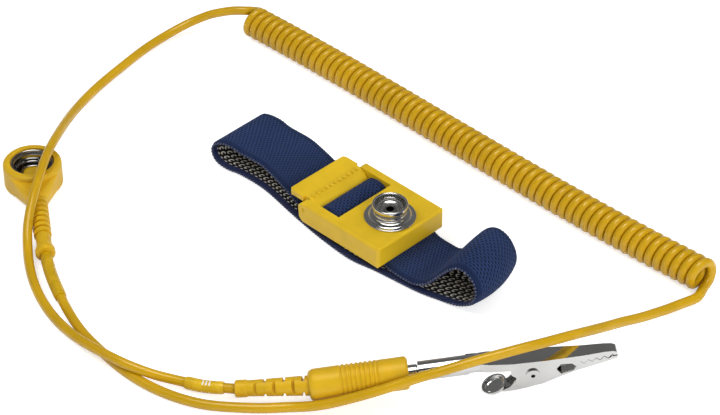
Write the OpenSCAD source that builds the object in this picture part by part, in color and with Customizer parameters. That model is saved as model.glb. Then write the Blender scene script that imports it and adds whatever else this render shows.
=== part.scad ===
// Anti-static wrist strap: elastic wristband with a clamping snap buckle, and
// a coiled grounding lead with a snap socket, a banana plug and a spring clip.
// Millimetres. +X runs along the wristband, +Y across it, +Z up.

/* [Buckle] */
// Width of the buckle frame across the band
frame_w = 26.2; // [25.4:0.1:28]
// Height of the frame's top face above the table
frame_top = 9.1; // [8.9:0.1:9.6]
// Distance from the lever's hinge to the frame's closed end
frame_reach = 29.2; // [28.6:0.1:31]
// Thickness of each side arm beside the window
arm_t = 2.8; // [2.4:0.1:2.9]
// Height of the side arms' lower edge above the table
skirt_z = 2.3; // [1.6:0.1:2.6]
// Distance from the lever's hinge to the deck's edge
window_l = 11.2; // [11:0.1:12]
// Thickness of the deck
deck_t = 2; // [1.6:0.1:2.4]
// Thickness of the frame's skirt walls
skirt_t = 1.6; // [1.2:0.1:2]
// Radius of the frame's rounded edges
edge_r = 0.8; // [0.4:0.1:1.1]
// Diameter of the boss under the stud
boss_d = 8; // [7:0.5:9]
// Length of the crossbar's section along the band
bar_l = 4.8; // [4.2:0.1:5]
// Height of the crossbar's section
bar_h = 2.6; // [2:0.1:2.6]

/* [Clamp lever] */
// Diameter of the lever's trunnions
trunnion_d = 2.4; // [1.8:0.1:2.4]
// Radial clearance of a trunnion in its arm
trunnion_gap = 0.05; // [0.03:0.01:0.1]
// Length of each trunnion inside its arm
trunnion_l = 2; // [1.2:0.1:2]
// Radius of the lever's hub
hub_r = 2.3; // [2.1:0.05:2.3]
// Reach of the lever's tab from the hinge
tab_l = 8.1; // [7:0.1:10]
// Thickness of the tab
tab_t = 1.6; // [1.2:0.1:2]
// Width of the tab outside the arms
tab_w = 21.5; // [20.5:0.1:24]
// Gap between the lever and each arm
lever_gap = 0.3; // [0.2:0.05:0.5]
// Number of grip beads along the lever's ridge
bead_n = 11; // [5:1:15]

/* [Snap stud] */
// Distance from the stud's axis to the frame's closed end
stud_back = 8.3; // [7.8:0.1:8.6]
// Diameter of the stud's flange
flange_d = 14.6; // [13.5:0.1:15.2]
// Diameter of the stud's head
head_d = 10; // [9.6:0.05:10.1]
// Diameter of the stud's neck
neck_d = 8.7; // [8.2:0.1:9]
// Height of the stud above the deck
stud_h = 4.7; // [4.3:0.1:5]
// Thickness of the stud's sheet metal
stud_wall = 0.5; // [0.4:0.05:0.7]
// Outer diameter of the eyelet's tube
eyelet_d = 2.9; // [2.6:0.1:3.2]
// Diameter of the hole through the eyelet
eyelet_hole = 2.3; // [1.6:0.1:2.3]
// Diameter of the eyelet's upper rim
eyelet_rim = 3.7; // [3.6:0.1:4.4]
// Length of the contact plate
plate_l = 8.6; // [7:0.1:8.8]
// Width of the contact plate
plate_w = 12; // [9:0.5:16]
// Thickness of the contact plate
plate_t = 0.4; // [0.3:0.05:0.5]

/* [Band] */
// Gap between the band's edge and each arm of the frame
band_gap = 0.3; // [0.2:0.05:0.8]
// Thickness of the elastic band
band_t = 1.3; // [1:0.05:1.3]

/* [Snap socket] */
// Diameter of the socket's housing
socket_d = 16.7; // [16:0.1:19]
// Height of the socket's housing
socket_h = 8; // [7.6:0.1:9]
// Diameter of the housing's opening
mouth_d = 12.6; // [12.2:0.1:13.6]
// Thickness of the housing's floor
floor_t = 1.4; // [1:0.1:1.8]
// Radial clearance between the socket and the stud's head
snap_gap = 0.05; // [0.03:0.01:0.1]
// Distance from the socket's axis to the start of its boot
tail_l = 14; // [13:0.5:14.5]
// Diameter of the socket's boot
sboot_d = 4.8; // [4.4:0.1:5.2]
// Number of ribs on the socket's boot
sboot_ribs = 7; // [5:1:8]
// Length of the ribbed part of the socket's boot
sboot_rib_l = 15; // [13:0.5:16]

/* [Banana plug] */
// Length of the plug's housing
plug_l = 25; // [23:0.5:25]
// Diameter of the plug's housing at the cord end
plug_rear_d = 8.5; // [7.6:0.1:9]
// Diameter of the plug's housing at the pin end
plug_front_d = 8.7; // [8:0.1:9.4]
// Diameter of the plug's boot at the housing
pboot_d = 5.4; // [4.8:0.1:5.6]
// Diameter of the plug's boot behind its collar
pboot_tip_d = 4.2; // [3.9:0.1:4.6]
// Diameter of the collar at the boot's cord end
collar_d = 4.6; // [4.3:0.1:5]
// Length of the collar at the boot's cord end
collar_l = 3.4; // [2.5:0.1:4]
// Number of slits along the plug's boot
slit_n = 6; // [4:1:6]
// Number of grip rings on the plug
grip_n = 8; // [5:1:9]
// Diameter of the pin's shoulder
pin_d = 4; // [3.7:0.05:4.1]
// Diameter of the pin's core inside its spring
core_d = 2.6; // [2.2:0.1:2.8]
// Length of the pin ahead of its shoulder
pin_l = 15.5; // [14:0.5:16]
// Running clearance of the clip's barrel on the pin's spring
barrel_gap = 0.05; // [0.03:0.01:0.1]

/* [Spring clip] */
// Outer radius of the clip's barrel
barrel_r = 2.6; // [2.45:0.05:2.7]
// Half width of the clip at its pivot
clip_half = 2.7; // [2.6:0.05:3]
// Half width of the clip at its nose
nose_half = 1.5; // [1.4:0.05:1.8]
// Thickness of the clip's sheet metal
sheet_t = 0.45; // [0.35:0.05:0.5]
// Gap between the nested jaws on each side
jaw_gap = 0.25; // [0.2:0.05:0.3]
// Diameter of the rivet at the pivot
rivet_d = 2; // [1.8:0.05:2.1]
// Radial clearance of the lower jaw on the rivet
rivet_gap = 0.05; // [0.03:0.01:0.1]
// Number of teeth on each side of a jaw
teeth_n = 4; // [3:1:6]
// Diameter of the dished thumb pad
pad_d = 6.8; // [6:0.1:7]
// Depth of the thumb pad's dish
pad_dish = 1.3; // [0.9:0.1:1.3]
// Diameter of the spring's wire
wire_d = 0.6; // [0.5:0.05:0.65]

/* [Cord] */
// Diameter of the cord
cord_d = 2.7; // [2.4:0.05:2.7]
// Mean radius of the coil's turns
coil_r = 3.6; // [3.2:0.05:3.6]
// Number of turns in the coil
coil_turns = 63.5; // [60.5:1:63.5]
// Wall of the sleeve beside the socket's boot
ssleeve_t = 0.35; // [0.2:0.05:0.35]
// Wall of the sleeve beside the plug's boot
vsleeve_t = 0.3; // [0.2:0.05:0.3]

/* [Hidden] */
// Distance from the wristband's middle to the buckle's own zero
home_x = 1.5;
$fn = 48;
eps = 0.01;

// Colours of the materials
yellow = [0.96, 0.76, 0.05];
navy = [0.10, 0.13, 0.34];
nickel = [0.78, 0.78, 0.80];
steel = [0.62, 0.63, 0.66];

// Buckle: the hinge axis runs along Y through [hinge_x, hinge_z]
hinge_x = -7.4;
nose_r = 2;
hinge_z = frame_top - nose_r;
frame_end = hinge_x + frame_reach;
window_w = frame_w - 2 * arm_t;
band_w = window_w - 2 * band_gap;
cup_z = stud_h - 2.5;
window_end = hinge_x + window_l;
deck_under = frame_top - deck_t;
stud_x = frame_end - stud_back;
bar_x = -3.2;
bar_z = 7 - bar_h;
band_under_z = 2.9;
boss_z = band_under_z + band_t + 0.06;
plate_x = frame_end - 5.3 - plate_l;
slot_top = 3;
slot_w = band_w + 2;
dimple_d = 1.2;

// Lever
lever_w = window_w - 2 * lever_gap;
tab_root = nose_r + 0.4;
tab_top = 2.1;
toe_flat = 1.32;
toe_turn = 50.6;
cam_out = 0.5;
cam_r = hub_r - 0.2;

// Band: the strip's middle line, as [x, y, z, rise across, shift along x across, crown]
hem = 0.35;
fold_r = hub_r + 0.6 + band_t / 2;
bar_top = 7 + band_t / 2;
tuck = window_end + 4.2;
front_loop = [[24, -0.7, 2.05, 0, 0, 0], [28.5, -0.8, 2.1, 0, -0.02, 0], [32.2, -0.7, 2.4, 0, -0.05, 0],
    [35.4, 0, 4.1, 0.01, -0.1, 0.1], [37.9, 1.2, 7.6, 0.02, -0.15, 0.3], [40.4, 2.3, 11, 0.02, -0.2, 0.6],
    [43.4, 3, 12.9, 0.02, -0.21, 0.8], [46.7, 3.3, 12.3, 0.02, -0.2, 1.2], [49.2, 3.3, 9.9, 0.01, -0.19, 1.6],
    [50.1, 3, 6.9, 0, -0.17, 1.7], [49, 2.6, 3.9, 0, -0.14, 1.4], [46, 2, 1.6, 0, -0.1, 0.5],
    [41.5, 1.2, 0.65, 0, -0.04, 0]];
back_loop = [[-37.2, 1.6, 0.65, 0], [-42.4, 0.6, 0.7, 0], [-46.4, 0.2, 1.6, 0.01], [-48.5, 0.4, 3.8, 0.03],
    [-48.3, 0.6, 6.1, 0.02], [-45.9, 1, 7.6, -0.02], [-42, 1.6, 7.8, -0.07], [-38, 1.9, 6.9, -0.1],
    [-31, 2.8, 6.3, -0.1], [-25, 2.2, 5.7, -0.08], [-19, 1.1, 5.2, -0.05], [-13.4, 0.3, 4.3, -0.01]];
under = [[34, -0.7], [20.6, -2.2], [11.5, -3.6], [1, -3], [-8.8, -1.7], [-17, -0.3], [-28, 1.6]];
band_front = concat(
    [for (q = [[tuck, 3.58], [frame_end - 9.8, 3.58], [frame_end - 6.2, 3.58], [frame_end - 4.3, 3.44],
        [frame_end - 2.8, 2.7], [frame_end - 1, 2.1]]) [q[0], 0, q[1], 0, 0, 0]],
    front_loop,
    [for (q = under) [q[0], q[1], 0.65, 0, 0, 0]],
    [for (q = back_loop) concat(q, [0, 0])],
    [[hinge_x - 2.6, 0, 3.7, 0, 0, 0]]);
band_back = [for (q = [[-3.75, 6.9], [-3.1, 7.6], [-2.1, bar_top + 0.25], [-0.8, bar_top + 0.45],
    [0.6, bar_top + 0.2], [1.7, 7.35], [2.3, 6.5], [2.5, 5.6], [2.7, 4.6], [3.7, 3.95], [5.2, 3.8],
    [6.6, 3.8]]) [q[0], 0, q[1], 0, 0, 0]];

// Snap socket: its axis stands at socket_at and its tail points along socket_turn
socket_at = [-77.4, -52.3, 0];
socket_turn = -34.3;
ring_top = socket_h - 0.35;
sboot_z = 3.6;
sboot_drop = 2.1;
sboot_l = 22.5;
sboot_collar = 5.5;

// Plug and clip: x runs from the housing's rear to the clip's nose, z is up
plug_at = [44.56, -60.69, 5];
plug_turn = 49.3;
plug_rise = 6;
pin_s = 27.4;
bore_r = pin_d / 2;
rear_s = -0.8;
slit_s = 4.9;
slit_pitch = 2.5;
barrel_end = 40.5;
nose_s = 78.9;
pivot = [56.6, -4];
pad_at = [46.6, -7.9];
pad_tilt = 18;

// Cord routes
cord_r = cord_d / 2;
sleeve_gap = 0.07;
route_b = [
    [-41.5, -76.3, 2], [-36.6, -78.6, 1.8], [-31.6, -80.9, 1.8], [-25, -83.5, 1.5],
    [-16.6, -86.1, 1.35], [-10.2, -87, 1.35], [-3.7, -87.9, 1.35], [3.2, -88.4, 1.35],
    [10.1, -88, 1.35], [16.7, -86.8, 1.35], [22.6, -84.8, 1.35], [27.7, -82.3, 1.35],
    [31.9, -79.1, 1.35], [35.9, -75.7, 1.35], [39.7, -72.2, 1.35], [43.2, -68.2, 1.5],
    [46.8, -65.5, 2.1], [50.9, -62.5, 3.5], [54.4, -58.6, 4.9], [58.1, -54.7, 6.6], [61.5, -50.5, 8.3],
    [64.2, -46.8, 9.6], [66.9, -43.6, 11.1], [69.8, -40.2, 12.4], [72.5, -36.3, 13.5],
    [74.8, -32.5, 14.3], [77, -29.2, 15], [79, -25.6, 15.4], [80.8, -21.9, 15.6], [82.5, -18.2, 15.6],
    [84.1, -13.6, 15.2], [85, -9.2, 14.3], [85.7, -4, 12.9], [86.1, 1.7, 10.9], [86.2, 7.8, 8.6],
    [86.2, 14.1, 6.3], [86.9, 19.6, 4.4], [87.3, 25.5, 2.8], [88.2, 30.8, 1.8], [89.1, 36.1, 1.35]];
route_a = [
    [-91.6, 41.2, 8.5], [-95.4, 39.3, 7.6], [-100.9, 34.8, 4.5], [-103.3, 30.4, 2.9],
    [-104.6, 25.6, 1.8], [-104.7, 18.4, 1.35], [-103.8, 11.4, 1.35], [-102.1, 3.4, 1.35],
    [-100.4, -4.6, 1.35], [-98.5, -11.5, 1.5], [-95.3, -19.1, 2.3], [-91.2, -26.5, 3.8],
    [-84.7, -35.3, 6.9], [-78.1, -44.1, 9.5], [-73.8, -50.3, 9.9], [-68.4, -57, 9.6],
    [-64.6, -62.3, 8.3], [-59.4, -68.9, 5.6], [-55.8, -72.3, 3.2], [-50.9, -76.2, 1.8],
    [-45.8, -79.6, 1.35], [-38.2, -83.7, 1.35], [-30, -86.6, 1.35], [-23, -88.2, 1.6],
    [-16.5, -89.2, 2.4], [-10.2, -89.7, 3.4], [-4.9, -89.6, 4.1], [-0.1, -89.2, 4.4],
    [3.8, -88.3, 4.2], [7.3, -86.7, 3.5], [10.5, -84.9, 2.7], [13.5, -83, 2.2], [18.6, -80.4, 2.1],
    [21.7, -79.1, 2.2], [24.6, -77.5, 2.4], [27.3, -75.5, 2.7]];
coil_x = 88.6;
coil_y = [[-88.6, 43.9], [-67.7, 44.4], [-46.4, 44.5], [-25.4, 44.2], [-4.9, 43.8],
    [15, 43.5], [34.2, 43.3], [52.6, 43.4], [70.1, 43.9], [88.6, 44.9]];
coil_z = coil_r + cord_r;
coil_rings = 8;
tail_pt = [29.8, -73.9, 2.9];

// A point on the smooth curve through pts, where u runs from 0 to len(pts) - 1
function spline(pts, u) =
    let (n = len(pts), i = min(floor(u), n - 2), t = u - i,
         b = pts[i], c = pts[i + 1], a = i > 0 ? pts[i - 1] : 2 * b - c,
         d = i < n - 2 ? pts[i + 2] : 2 * c - b)
    0.5 * (2 * b + (c - a) * t + (2 * a - 5 * b + 4 * c - d) * t * t
        + (3 * b - a - 3 * c + d) * t * t * t);
function smooth(pts, steps) = [for (i = [0 : (len(pts) - 1) * steps]) spline(pts, i / steps)];
function unit(v) = v / norm(v);
function heading(pts, i) = unit(pts[min(i + 1, len(pts) - 1)] - pts[max(i - 1, 0)]);

// Triangles that close rings of m points each into one solid
function side_faces(n, m) = [for (i = [0 : n - 2], j = [0 : m - 1])
    let (a = i * m + j, b = i * m + (j + 1) % m) each [[a, b, b + m], [a, b + m, a + m]]];
function cap_faces(n, m) = [for (j = [1 : m - 2]) each
    [[0, j + 1, j], [(n - 1) * m, (n - 1) * m + j, (n - 1) * m + j + 1]]];
module loft(rings) {
    n = len(rings);
    m = len(rings[0]);
    points = [for (ring = rings) each ring];
    polyhedron(points, [for (f = concat(side_faces(n, m), cap_faces(n, m))) [f[2], f[1], f[0]]]);
}

// A round section of the given radius and sides, square to way
function ring_at(p, way, r, sides) =
    let (across = unit(cross([0, 0, 1], way)), up = cross(way, across))
    [for (k = [0 : sides - 1]) p + r * (cos(k * 360 / sides) * across + sin(k * 360 / sides) * up)];
function tube_rings(pts, r, first, last) = concat(
    [ring_at(pts[0], first, r, 8)],
    [for (i = [1 : len(pts) - 2]) ring_at(pts[i], heading(pts, i), r, 8)],
    [ring_at(pts[len(pts) - 1], last, r, 8)]);

// A rounded rectangle from [x0, y0] to [x1, y1]
module round_rect(x0, y0, x1, y1, r) {
    translate([x0 + r, y0]) square([x1 - x0 - 2 * r, y1 - y0]);
    translate([x0, y0 + r]) square([x1 - x0, y1 - y0 - 2 * r]);
    for (x = [x0 + r, x1 - r], y = [y0 + r, y1 - r]) translate([x, y]) circle(r);
}
// Extrudes a drawing in X and Z by w, centred across Y
module across_y(w) { rotate([90, 0, 0]) linear_extrude(w, center = true) children(); }
// Extrudes a drawing in Y and Z from x0 to x1
module along_x(x0, x1) { translate([x0, 0, 0]) rotate([90, 0, 90]) linear_extrude(x1 - x0) children(); }
// Turns a drawing of radius against length about the local X axis
module turned() { rotate([0, 90, 0]) rotate_extrude() children(); }
// A drawing whose points are [length, radius]
module turned_points(pts) { turned() polygon([for (p = pts) [p[1], p[0]]]); }

module at_socket() { translate(socket_at) rotate([0, 0, socket_turn]) children(); }
module at_boot() { at_socket() translate([tail_l, 0, sboot_z]) rotate([0, sboot_drop, 0]) children(); }
module at_plug() { translate(plug_at) rotate([0, -plug_rise, plug_turn]) children(); }

// ---- Wristband ----

function band_section(p, way, w) =
    let (across = unit([p[4], 1, p[3]]), up = unit(cross(way, across)),
         h = w / 2, t = band_t / 2, c = [p[0], p[1], p[2]])
    [for (q = [[-h, hem - t], [hem - h, -t], [0, p[5] - t], [h - hem, -t], [h, hem - t],
               [h, t - hem], [h - hem, t], [0, p[5] + t], [hem - h, t], [-h, t - hem]])
        c + q[0] * across + q[1] * up];
hub_arc = [for (a = [270 : 15 : 345]) [hinge_x + fold_r * cos(a), 0, hinge_z + fold_r * sin(a), 0, 0, 0]];
band_path = concat(smooth(band_front, 2), hub_arc, smooth(band_back, 2));
band_line = [for (p = band_path) [p[0], p[1], max(p[2], band_t / 2 + eps), p[3], p[4], p[5]]];

module elastic_band() {
    color(navy) difference() {
        loft([for (i = [0 : len(band_line) - 1])
            let (h = heading(band_line, i))
            band_section(band_line[i], unit([h[0], 0, h[2]]), band_w)]);
        translate([stud_x, 0, band_under_z - 1]) cylinder(d = eyelet_d + 0.1, h = band_t + 2);
    }
}

module frame_side() {
    translate([hinge_x, hinge_z]) circle(nose_r);
    polygon([[hinge_x - nose_r, hinge_z], [hinge_x - nose_r + 0.3, skirt_z + 1.6],
        [hinge_x + 0.2, skirt_z], [frame_end - edge_r, skirt_z], [frame_end, skirt_z + edge_r],
        [frame_end, frame_top - edge_r], [frame_end - edge_r, frame_top - edge_r],
        [frame_end - edge_r, frame_top], [hinge_x, frame_top]]);
    translate([frame_end - edge_r, frame_top - edge_r]) circle(edge_r);
}
module frame_end_view() {
    round_rect(-frame_w / 2, skirt_z, frame_w / 2, frame_top, edge_r);
}
module frame_plan() {
    x0 = hinge_x - nose_r - 1;
    round_rect(x0, -frame_w / 2, frame_end, frame_w / 2, edge_r + 0.5);
}
module crossbar() {
    r = bar_h / 2 - 0.1;
    across_y(window_w + 0.4) round_rect(bar_x, bar_z, bar_x + bar_l, bar_z + bar_h, r);
}
module buckle_frame() {
    color(yellow) difference() {
        union() {
            difference() {
                intersection() {
                    across_y(frame_w) frame_side();
                    along_x(hinge_x - 4, frame_end + 1) frame_end_view();
                    linear_extrude(frame_top + 1) frame_plan();
                }
                // Window, open at the lever's end
                translate([hinge_x - 6, -window_w / 2, 0])
                    cube([window_end - hinge_x + 6, window_w, frame_top + 1]);
                // Hollow under the deck
                translate([window_end - eps, -frame_w / 2 + skirt_t, 0])
                    cube([frame_end - skirt_t - window_end + eps, frame_w - 2 * skirt_t, deck_under]);
                // Slot that the band leaves by
                translate([frame_end - skirt_t - 1, -slot_w / 2, 0]) cube([skirt_t + 2, slot_w, slot_top]);
            }
            crossbar();
            translate([stud_x, 0, boss_z]) cylinder(d = boss_d, h = deck_under - boss_z + eps);
        }
        // Eyelet's bore
        translate([stud_x, 0, 0]) cylinder(d = eyelet_d + 0.1, h = frame_top + 1);
        // Lever's bearings, and the small ejector dimple outside each
        for (side = [-1, 1]) translate([hinge_x, side * (window_w / 2 - 1), hinge_z]) rotate([-90 * side, 0, 0]) {
            cylinder(d = trunnion_d + 2 * trunnion_gap, h = trunnion_l + 1.2);
            translate([0, 0, arm_t + 0.75]) cylinder(d = dimple_d, h = 1);
        }
    }
}

module snap_stud() {
    r = head_d / 2;
    neck = neck_d / 2;
    inner = neck - stud_wall;
    rim = 0.5;
    color(nickel) translate([stud_x, 0, frame_top]) rotate_extrude($fn = 96) difference() {
        union() {
            // Flange and its raised bead
            translate([inner, 0]) square([flange_d / 2 - inner - 0.25, stud_wall]);
            translate([flange_d / 2 - stud_wall / 2, stud_wall / 2]) circle(stud_wall / 2);
            polygon([[neck + 1.9, 0.2], [neck + 1.55, 0.8], [neck + 1, 1.15], [neck + 0.4, 1.2],
                [neck + 0.1, 1.5], [neck, 2], [neck, 2.5], [neck + 0.25, 2.95], [r, 3.3],
                [r, stud_h - 0.6], [r - rim, stud_h - 0.6], [inner + 0.1, 3.3], [inner - 0.5, cup_z + 0.4],
                [inner - 1.1, cup_z], [inner - 1.1, cup_z - stud_wall], [inner - 0.5, cup_z - stud_wall],
                [inner, 1.2], [inner, 0.2]]);
            // Floor of the cup, which the eyelet rivets down
            translate([eyelet_d / 2 + 0.05, cup_z - stud_wall])
                square([inner - eyelet_d / 2 - 0.8, stud_wall]);
            // Rolled rim
            translate([r - rim, stud_h - rim]) circle(rim);
        }
        // Underside
        translate([0, -2]) square([flange_d, 2]);
    }
}

module stud_eyelet() {
    low = band_under_z - plate_t;
    high = frame_top + cup_z;
    hole = eyelet_hole / 2;
    tube = eyelet_d / 2;
    rim = eyelet_rim / 2;
    color(nickel) translate([stud_x, 0, 0]) rotate_extrude() {
        translate([hole, low - 0.4]) square([tube - hole, high - low + 0.8]);
        translate([hole, low - 0.4]) square([2.2 - hole, 0.4]);
        translate([hole, high]) square([rim - 0.2 - hole, 0.4]);
        translate([rim - 0.2, high + 0.2]) circle(0.2);
    }
}

module contact_plate() {
    color(steel) difference() {
        translate([0, 0, band_under_z - plate_t]) linear_extrude(plate_t)
            round_rect(plate_x, -plate_w / 2, plate_x + plate_l, plate_w / 2, 1);
        translate([stud_x, 0, 0]) cylinder(d = eyelet_d + 0.1, h = 5);
    }
}

// ---- Clamp lever, drawn about its hinge ----

module lever_side() {
    difference() {
        union() {
            circle(hub_r);
            rotate(-32) translate([cam_out, 0]) circle(cam_r);
            polygon([[-tab_root, tab_top - tab_t], [-tab_root, tab_top], [0, tab_top], [0, 0]]);
        }
        rotate(toe_turn) translate([toe_flat, -5]) square([5, 10]);
    }
}
module lever_tab() {
    corner = 1.6;
    intersection() {
        across_y(tab_w) {
            translate([-tab_l + 0.6, tab_top - tab_t]) square([tab_l - tab_root - 0.6, tab_t]);
            round_rect(-tab_l, tab_top - tab_t, -tab_l + 3, tab_top, 0.5);
            polygon([[-tab_l + 0.5, tab_top - tab_t + 0.1], [-tab_l + 0.3, tab_top - tab_t - 0.25],
                [-tab_l + 1.1, tab_top - tab_t - 0.25], [-tab_l + 1.9, tab_top - tab_t + 0.1]]);
        }
        translate([0, 0, -1]) linear_extrude(5)
            round_rect(-tab_l, -tab_w / 2, -tab_root + corner, tab_w / 2, corner);
        translate([-tab_l - 1, -tab_w, -1]) cube([tab_l - tab_root + 1, 2 * tab_w, 5]);
    }
}
module clamp_lever() {
    ridge = [-0.55, 2.1];
    color(yellow) translate([hinge_x, 0, hinge_z]) {
        across_y(lever_w) lever_side();
        lever_tab();
        for (side = [-1, 1]) translate([0, side * (lever_w / 2 - 0.5), 0]) rotate([-90 * side, 0, 0])
            cylinder(d = trunnion_d, h = trunnion_l + lever_gap + 0.5);
        for (k = [0 : bead_n - 1])
            translate([ridge[0], (k - (bead_n - 1) / 2) * (lever_w - 3) / (bead_n - 1), ridge[1]])
                sphere(0.4, $fn = 16);
    }
}

// ---- Snap socket ----

module socket_housing() {
    r = socket_d / 2;
    round = 1;
    color(yellow) at_socket() difference() {
        union() {
            rotate_extrude($fn = 96) {
                square([r - round, socket_h]);
                translate([0, round]) square([r, socket_h - 2 * round]);
                for (z = [round, socket_h - round]) translate([r - round, z]) circle(round);
            }
            // Drop-shaped body under the rim, drawn out to the tail
            hull() {
                translate([0, 0, 1]) cylinder(r = r - 0.05, h = socket_h - 2.4, $fn = 64);
                translate([tail_l, 0, sboot_z]) rotate([0, -90, 0]) cylinder(r = sboot_d / 2 + 0.4, h = 1, $fn = 32);
            }
        }
        // Mouth
        translate([0, 0, floor_t]) cylinder(d = mouth_d, h = socket_h, $fn = 96);
        // Channel for the terminal
        translate([mouth_d / 2 - 1, -1.5, sboot_z - 1.5]) cube([tail_l - mouth_d / 2 + 0.2, 3, 3]);
    }
}

module snap_socket() {
    r = mouth_d / 2 - 0.05;
    bore = head_d / 2 + snap_gap;
    color(nickel) at_socket() rotate_extrude($fn = 96) {
        // Floor ring, outer wall, collar that guides the stud and ledge under the spring
        polygon([[bore - 1.5, floor_t], [r, floor_t], [r, ring_top - 0.35], [r - 0.35, ring_top - 0.35],
            [r - 0.35, ring_top], [bore + 0.5, ring_top - 0.7], [bore, ring_top - 1.1], [bore, ring_top - 2.6],
            [bore + 0.35, ring_top - 2.6], [bore + 0.35, ring_top - 1.35], [r - 0.4, ring_top - 0.8],
            [r - 0.4, ring_top - 3.2], [bore + 0.15, ring_top - 3.3], [bore + 0.15, ring_top - 3.7],
            [r - 0.4, ring_top - 3.65], [r - 0.4, floor_t + 0.4], [bore - 1.5, floor_t + 0.4]]);
        // Rolled lip and the floor ring's bead
        translate([r - 0.35, ring_top - 0.35]) circle(0.35);
        translate([bore - 1.5, floor_t + 0.3]) circle(0.3);
    }
}

module socket_spring() {
    wire = 0.3;
    ring = head_d / 2 - 0.05;
    z = ring_top - 2.95;
    color(steel) at_socket() translate([0, 0, z]) rotate([0, 0, 205])
        rotate_extrude(angle = 310, $fn = 96) translate([ring, 0]) circle(wire, $fn = 16);
}

module socket_terminal() {
    z = sboot_z;
    start = mouth_d / 2 + 0.02;
    color(steel) at_socket() {
        translate([start, -1.2, z - 1.2]) cube([2.6, 2.4, 0.4]);
        translate([start + 2.2, 0, z]) rotate([0, 90, 0]) difference() {
            cylinder(r = 1.25, h = 4.6);
            translate([0, 0, -1]) cylinder(r = 0.8, h = 7);
        }
    }
}

module socket_boot() {
    r = sboot_d / 2;
    pitch = sboot_rib_l / sboot_ribs;
    smooth_end = sboot_l - 3;
    color(yellow) at_boot() {
        rotate([0, 90, 0]) {
            translate([0, 0, 0.15]) cylinder(r = r - 0.55, h = sboot_l - 1);
            for (k = [0 : sboot_ribs - 1]) translate([0, 0, 0.15 + k * pitch])
                cylinder(r = r + 0.35 - 0.05 * k, h = pitch * 0.62);
            translate([0, 0, sboot_rib_l]) cylinder(r = r - 0.3, h = smooth_end - sboot_rib_l + 1);
        }
        turned_points([[smooth_end, 0], [smooth_end, r], [smooth_end + 0.6, sboot_collar / 2 - 0.2],
            [smooth_end + 1.2, sboot_collar / 2], [sboot_l - 0.5, sboot_collar / 2],
            [sboot_l, sboot_collar / 2 - 0.4], [sboot_l, 0]]);
    }
}

// ---- Cord ----

boot_way = unit([cos(socket_turn) * cos(sboot_drop), sin(socket_turn) * cos(sboot_drop),
    -sin(sboot_drop)]);
boot_start = socket_at + [tail_l * cos(socket_turn), tail_l * sin(socket_turn), sboot_z];
boot_end = boot_start + (sboot_l + 0.02) * boot_way;
function axis_at(u) = let (x = coil_x * (2 * u - 1)) [x, lookup(x, coil_y), coil_z];
coil_in = axis_at(0) + [0, 0, coil_r];
coil_out = axis_at(1) - [0, 0, coil_r];
stub_in = cord_d * unit([-0.35, -0.94, 0]);
stub_out = cord_d * unit([0.35, -0.94, 0]);
join = 1.01;
line_b = concat([boot_end], route_b, [coil_out + 2 * stub_out, coil_out + join * stub_out]);
boot_dir = unit(plug_at - tail_pt);
line_a = concat([coil_in + join * stub_in], route_a, [tail_pt - 0.02 * boot_dir]);

module cord_socket_side() { color(yellow) loft(tube_rings(line_b, cord_r, boot_way, -unit(stub_out))); }
module cord_plug_side() { color(yellow) loft(tube_rings(line_a, cord_r, unit(stub_in), boot_dir)); }

// Rings of the coil: point k of the helix, then a straight stub at each end
coil_steps = coil_turns * coil_rings;
function helix(k) = let (a = k * 360 / coil_rings)
    axis_at(k / coil_steps) + coil_r * [0, sin(a), cos(a)];
function hex_ring(p, way, out) = let (side = unit(cross(way, out)), up = cross(side, way))
    [for (j = [0 : 5]) p + cord_r * (cos(j * 60) * up + sin(j * 60) * side)];
coil_rows = concat(
    [hex_ring(coil_in + stub_in, -unit(stub_in), [0, 0, 1])],
    [for (k = [0 : coil_steps]) let (a = k * 360 / coil_rings)
        hex_ring(helix(k), unit(helix(min(k + 1, coil_steps)) - helix(max(k - 1, 0))),
            [0, sin(a), cos(a)])],
    [hex_ring(coil_out + stub_out, unit(stub_out), [0, 0, -1])]);
coil_gap = min([for (k = [0 : coil_steps - coil_rings]) norm(helix(k + coil_rings) - helix(k))])
    - cord_d * cos(30);
echo(least_gap_between_curls_mm = coil_gap);

module cord_curly() { color(yellow) loft(coil_rows); }

// A sleeve round the rings first to last of a route
module sleeve(pts, first, last, wall, way0, way1) {
    part = [for (i = [first : last]) pts[i]];
    a = first == 0 ? way0 : heading(pts, first);
    b = last == len(pts) - 1 ? way1 : heading(pts, last);
    long = concat([part[0] - 0.5 * a], [for (i = [1 : len(part) - 2]) part[i]],
        [part[len(part) - 1] + 0.5 * b]);
    difference() {
        loft(tube_rings(part, cord_r + sleeve_gap + wall, a, b));
        loft(tube_rings(long, cord_r + sleeve_gap, a, b));
    }
}
module socket_sleeve() {
    color([0.72, 0.62, 0.2]) sleeve(line_b, 0, 3, ssleeve_t, boot_way, -unit(stub_out));
}
module value_sleeve() {
    n = len(line_a);
    color([0.9, 0.8, 0.4]) sleeve(line_a, n - 5, n - 2, vsleeve_t, unit(stub_in), boot_dir);
}

// ---- Banana plug ----

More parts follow.
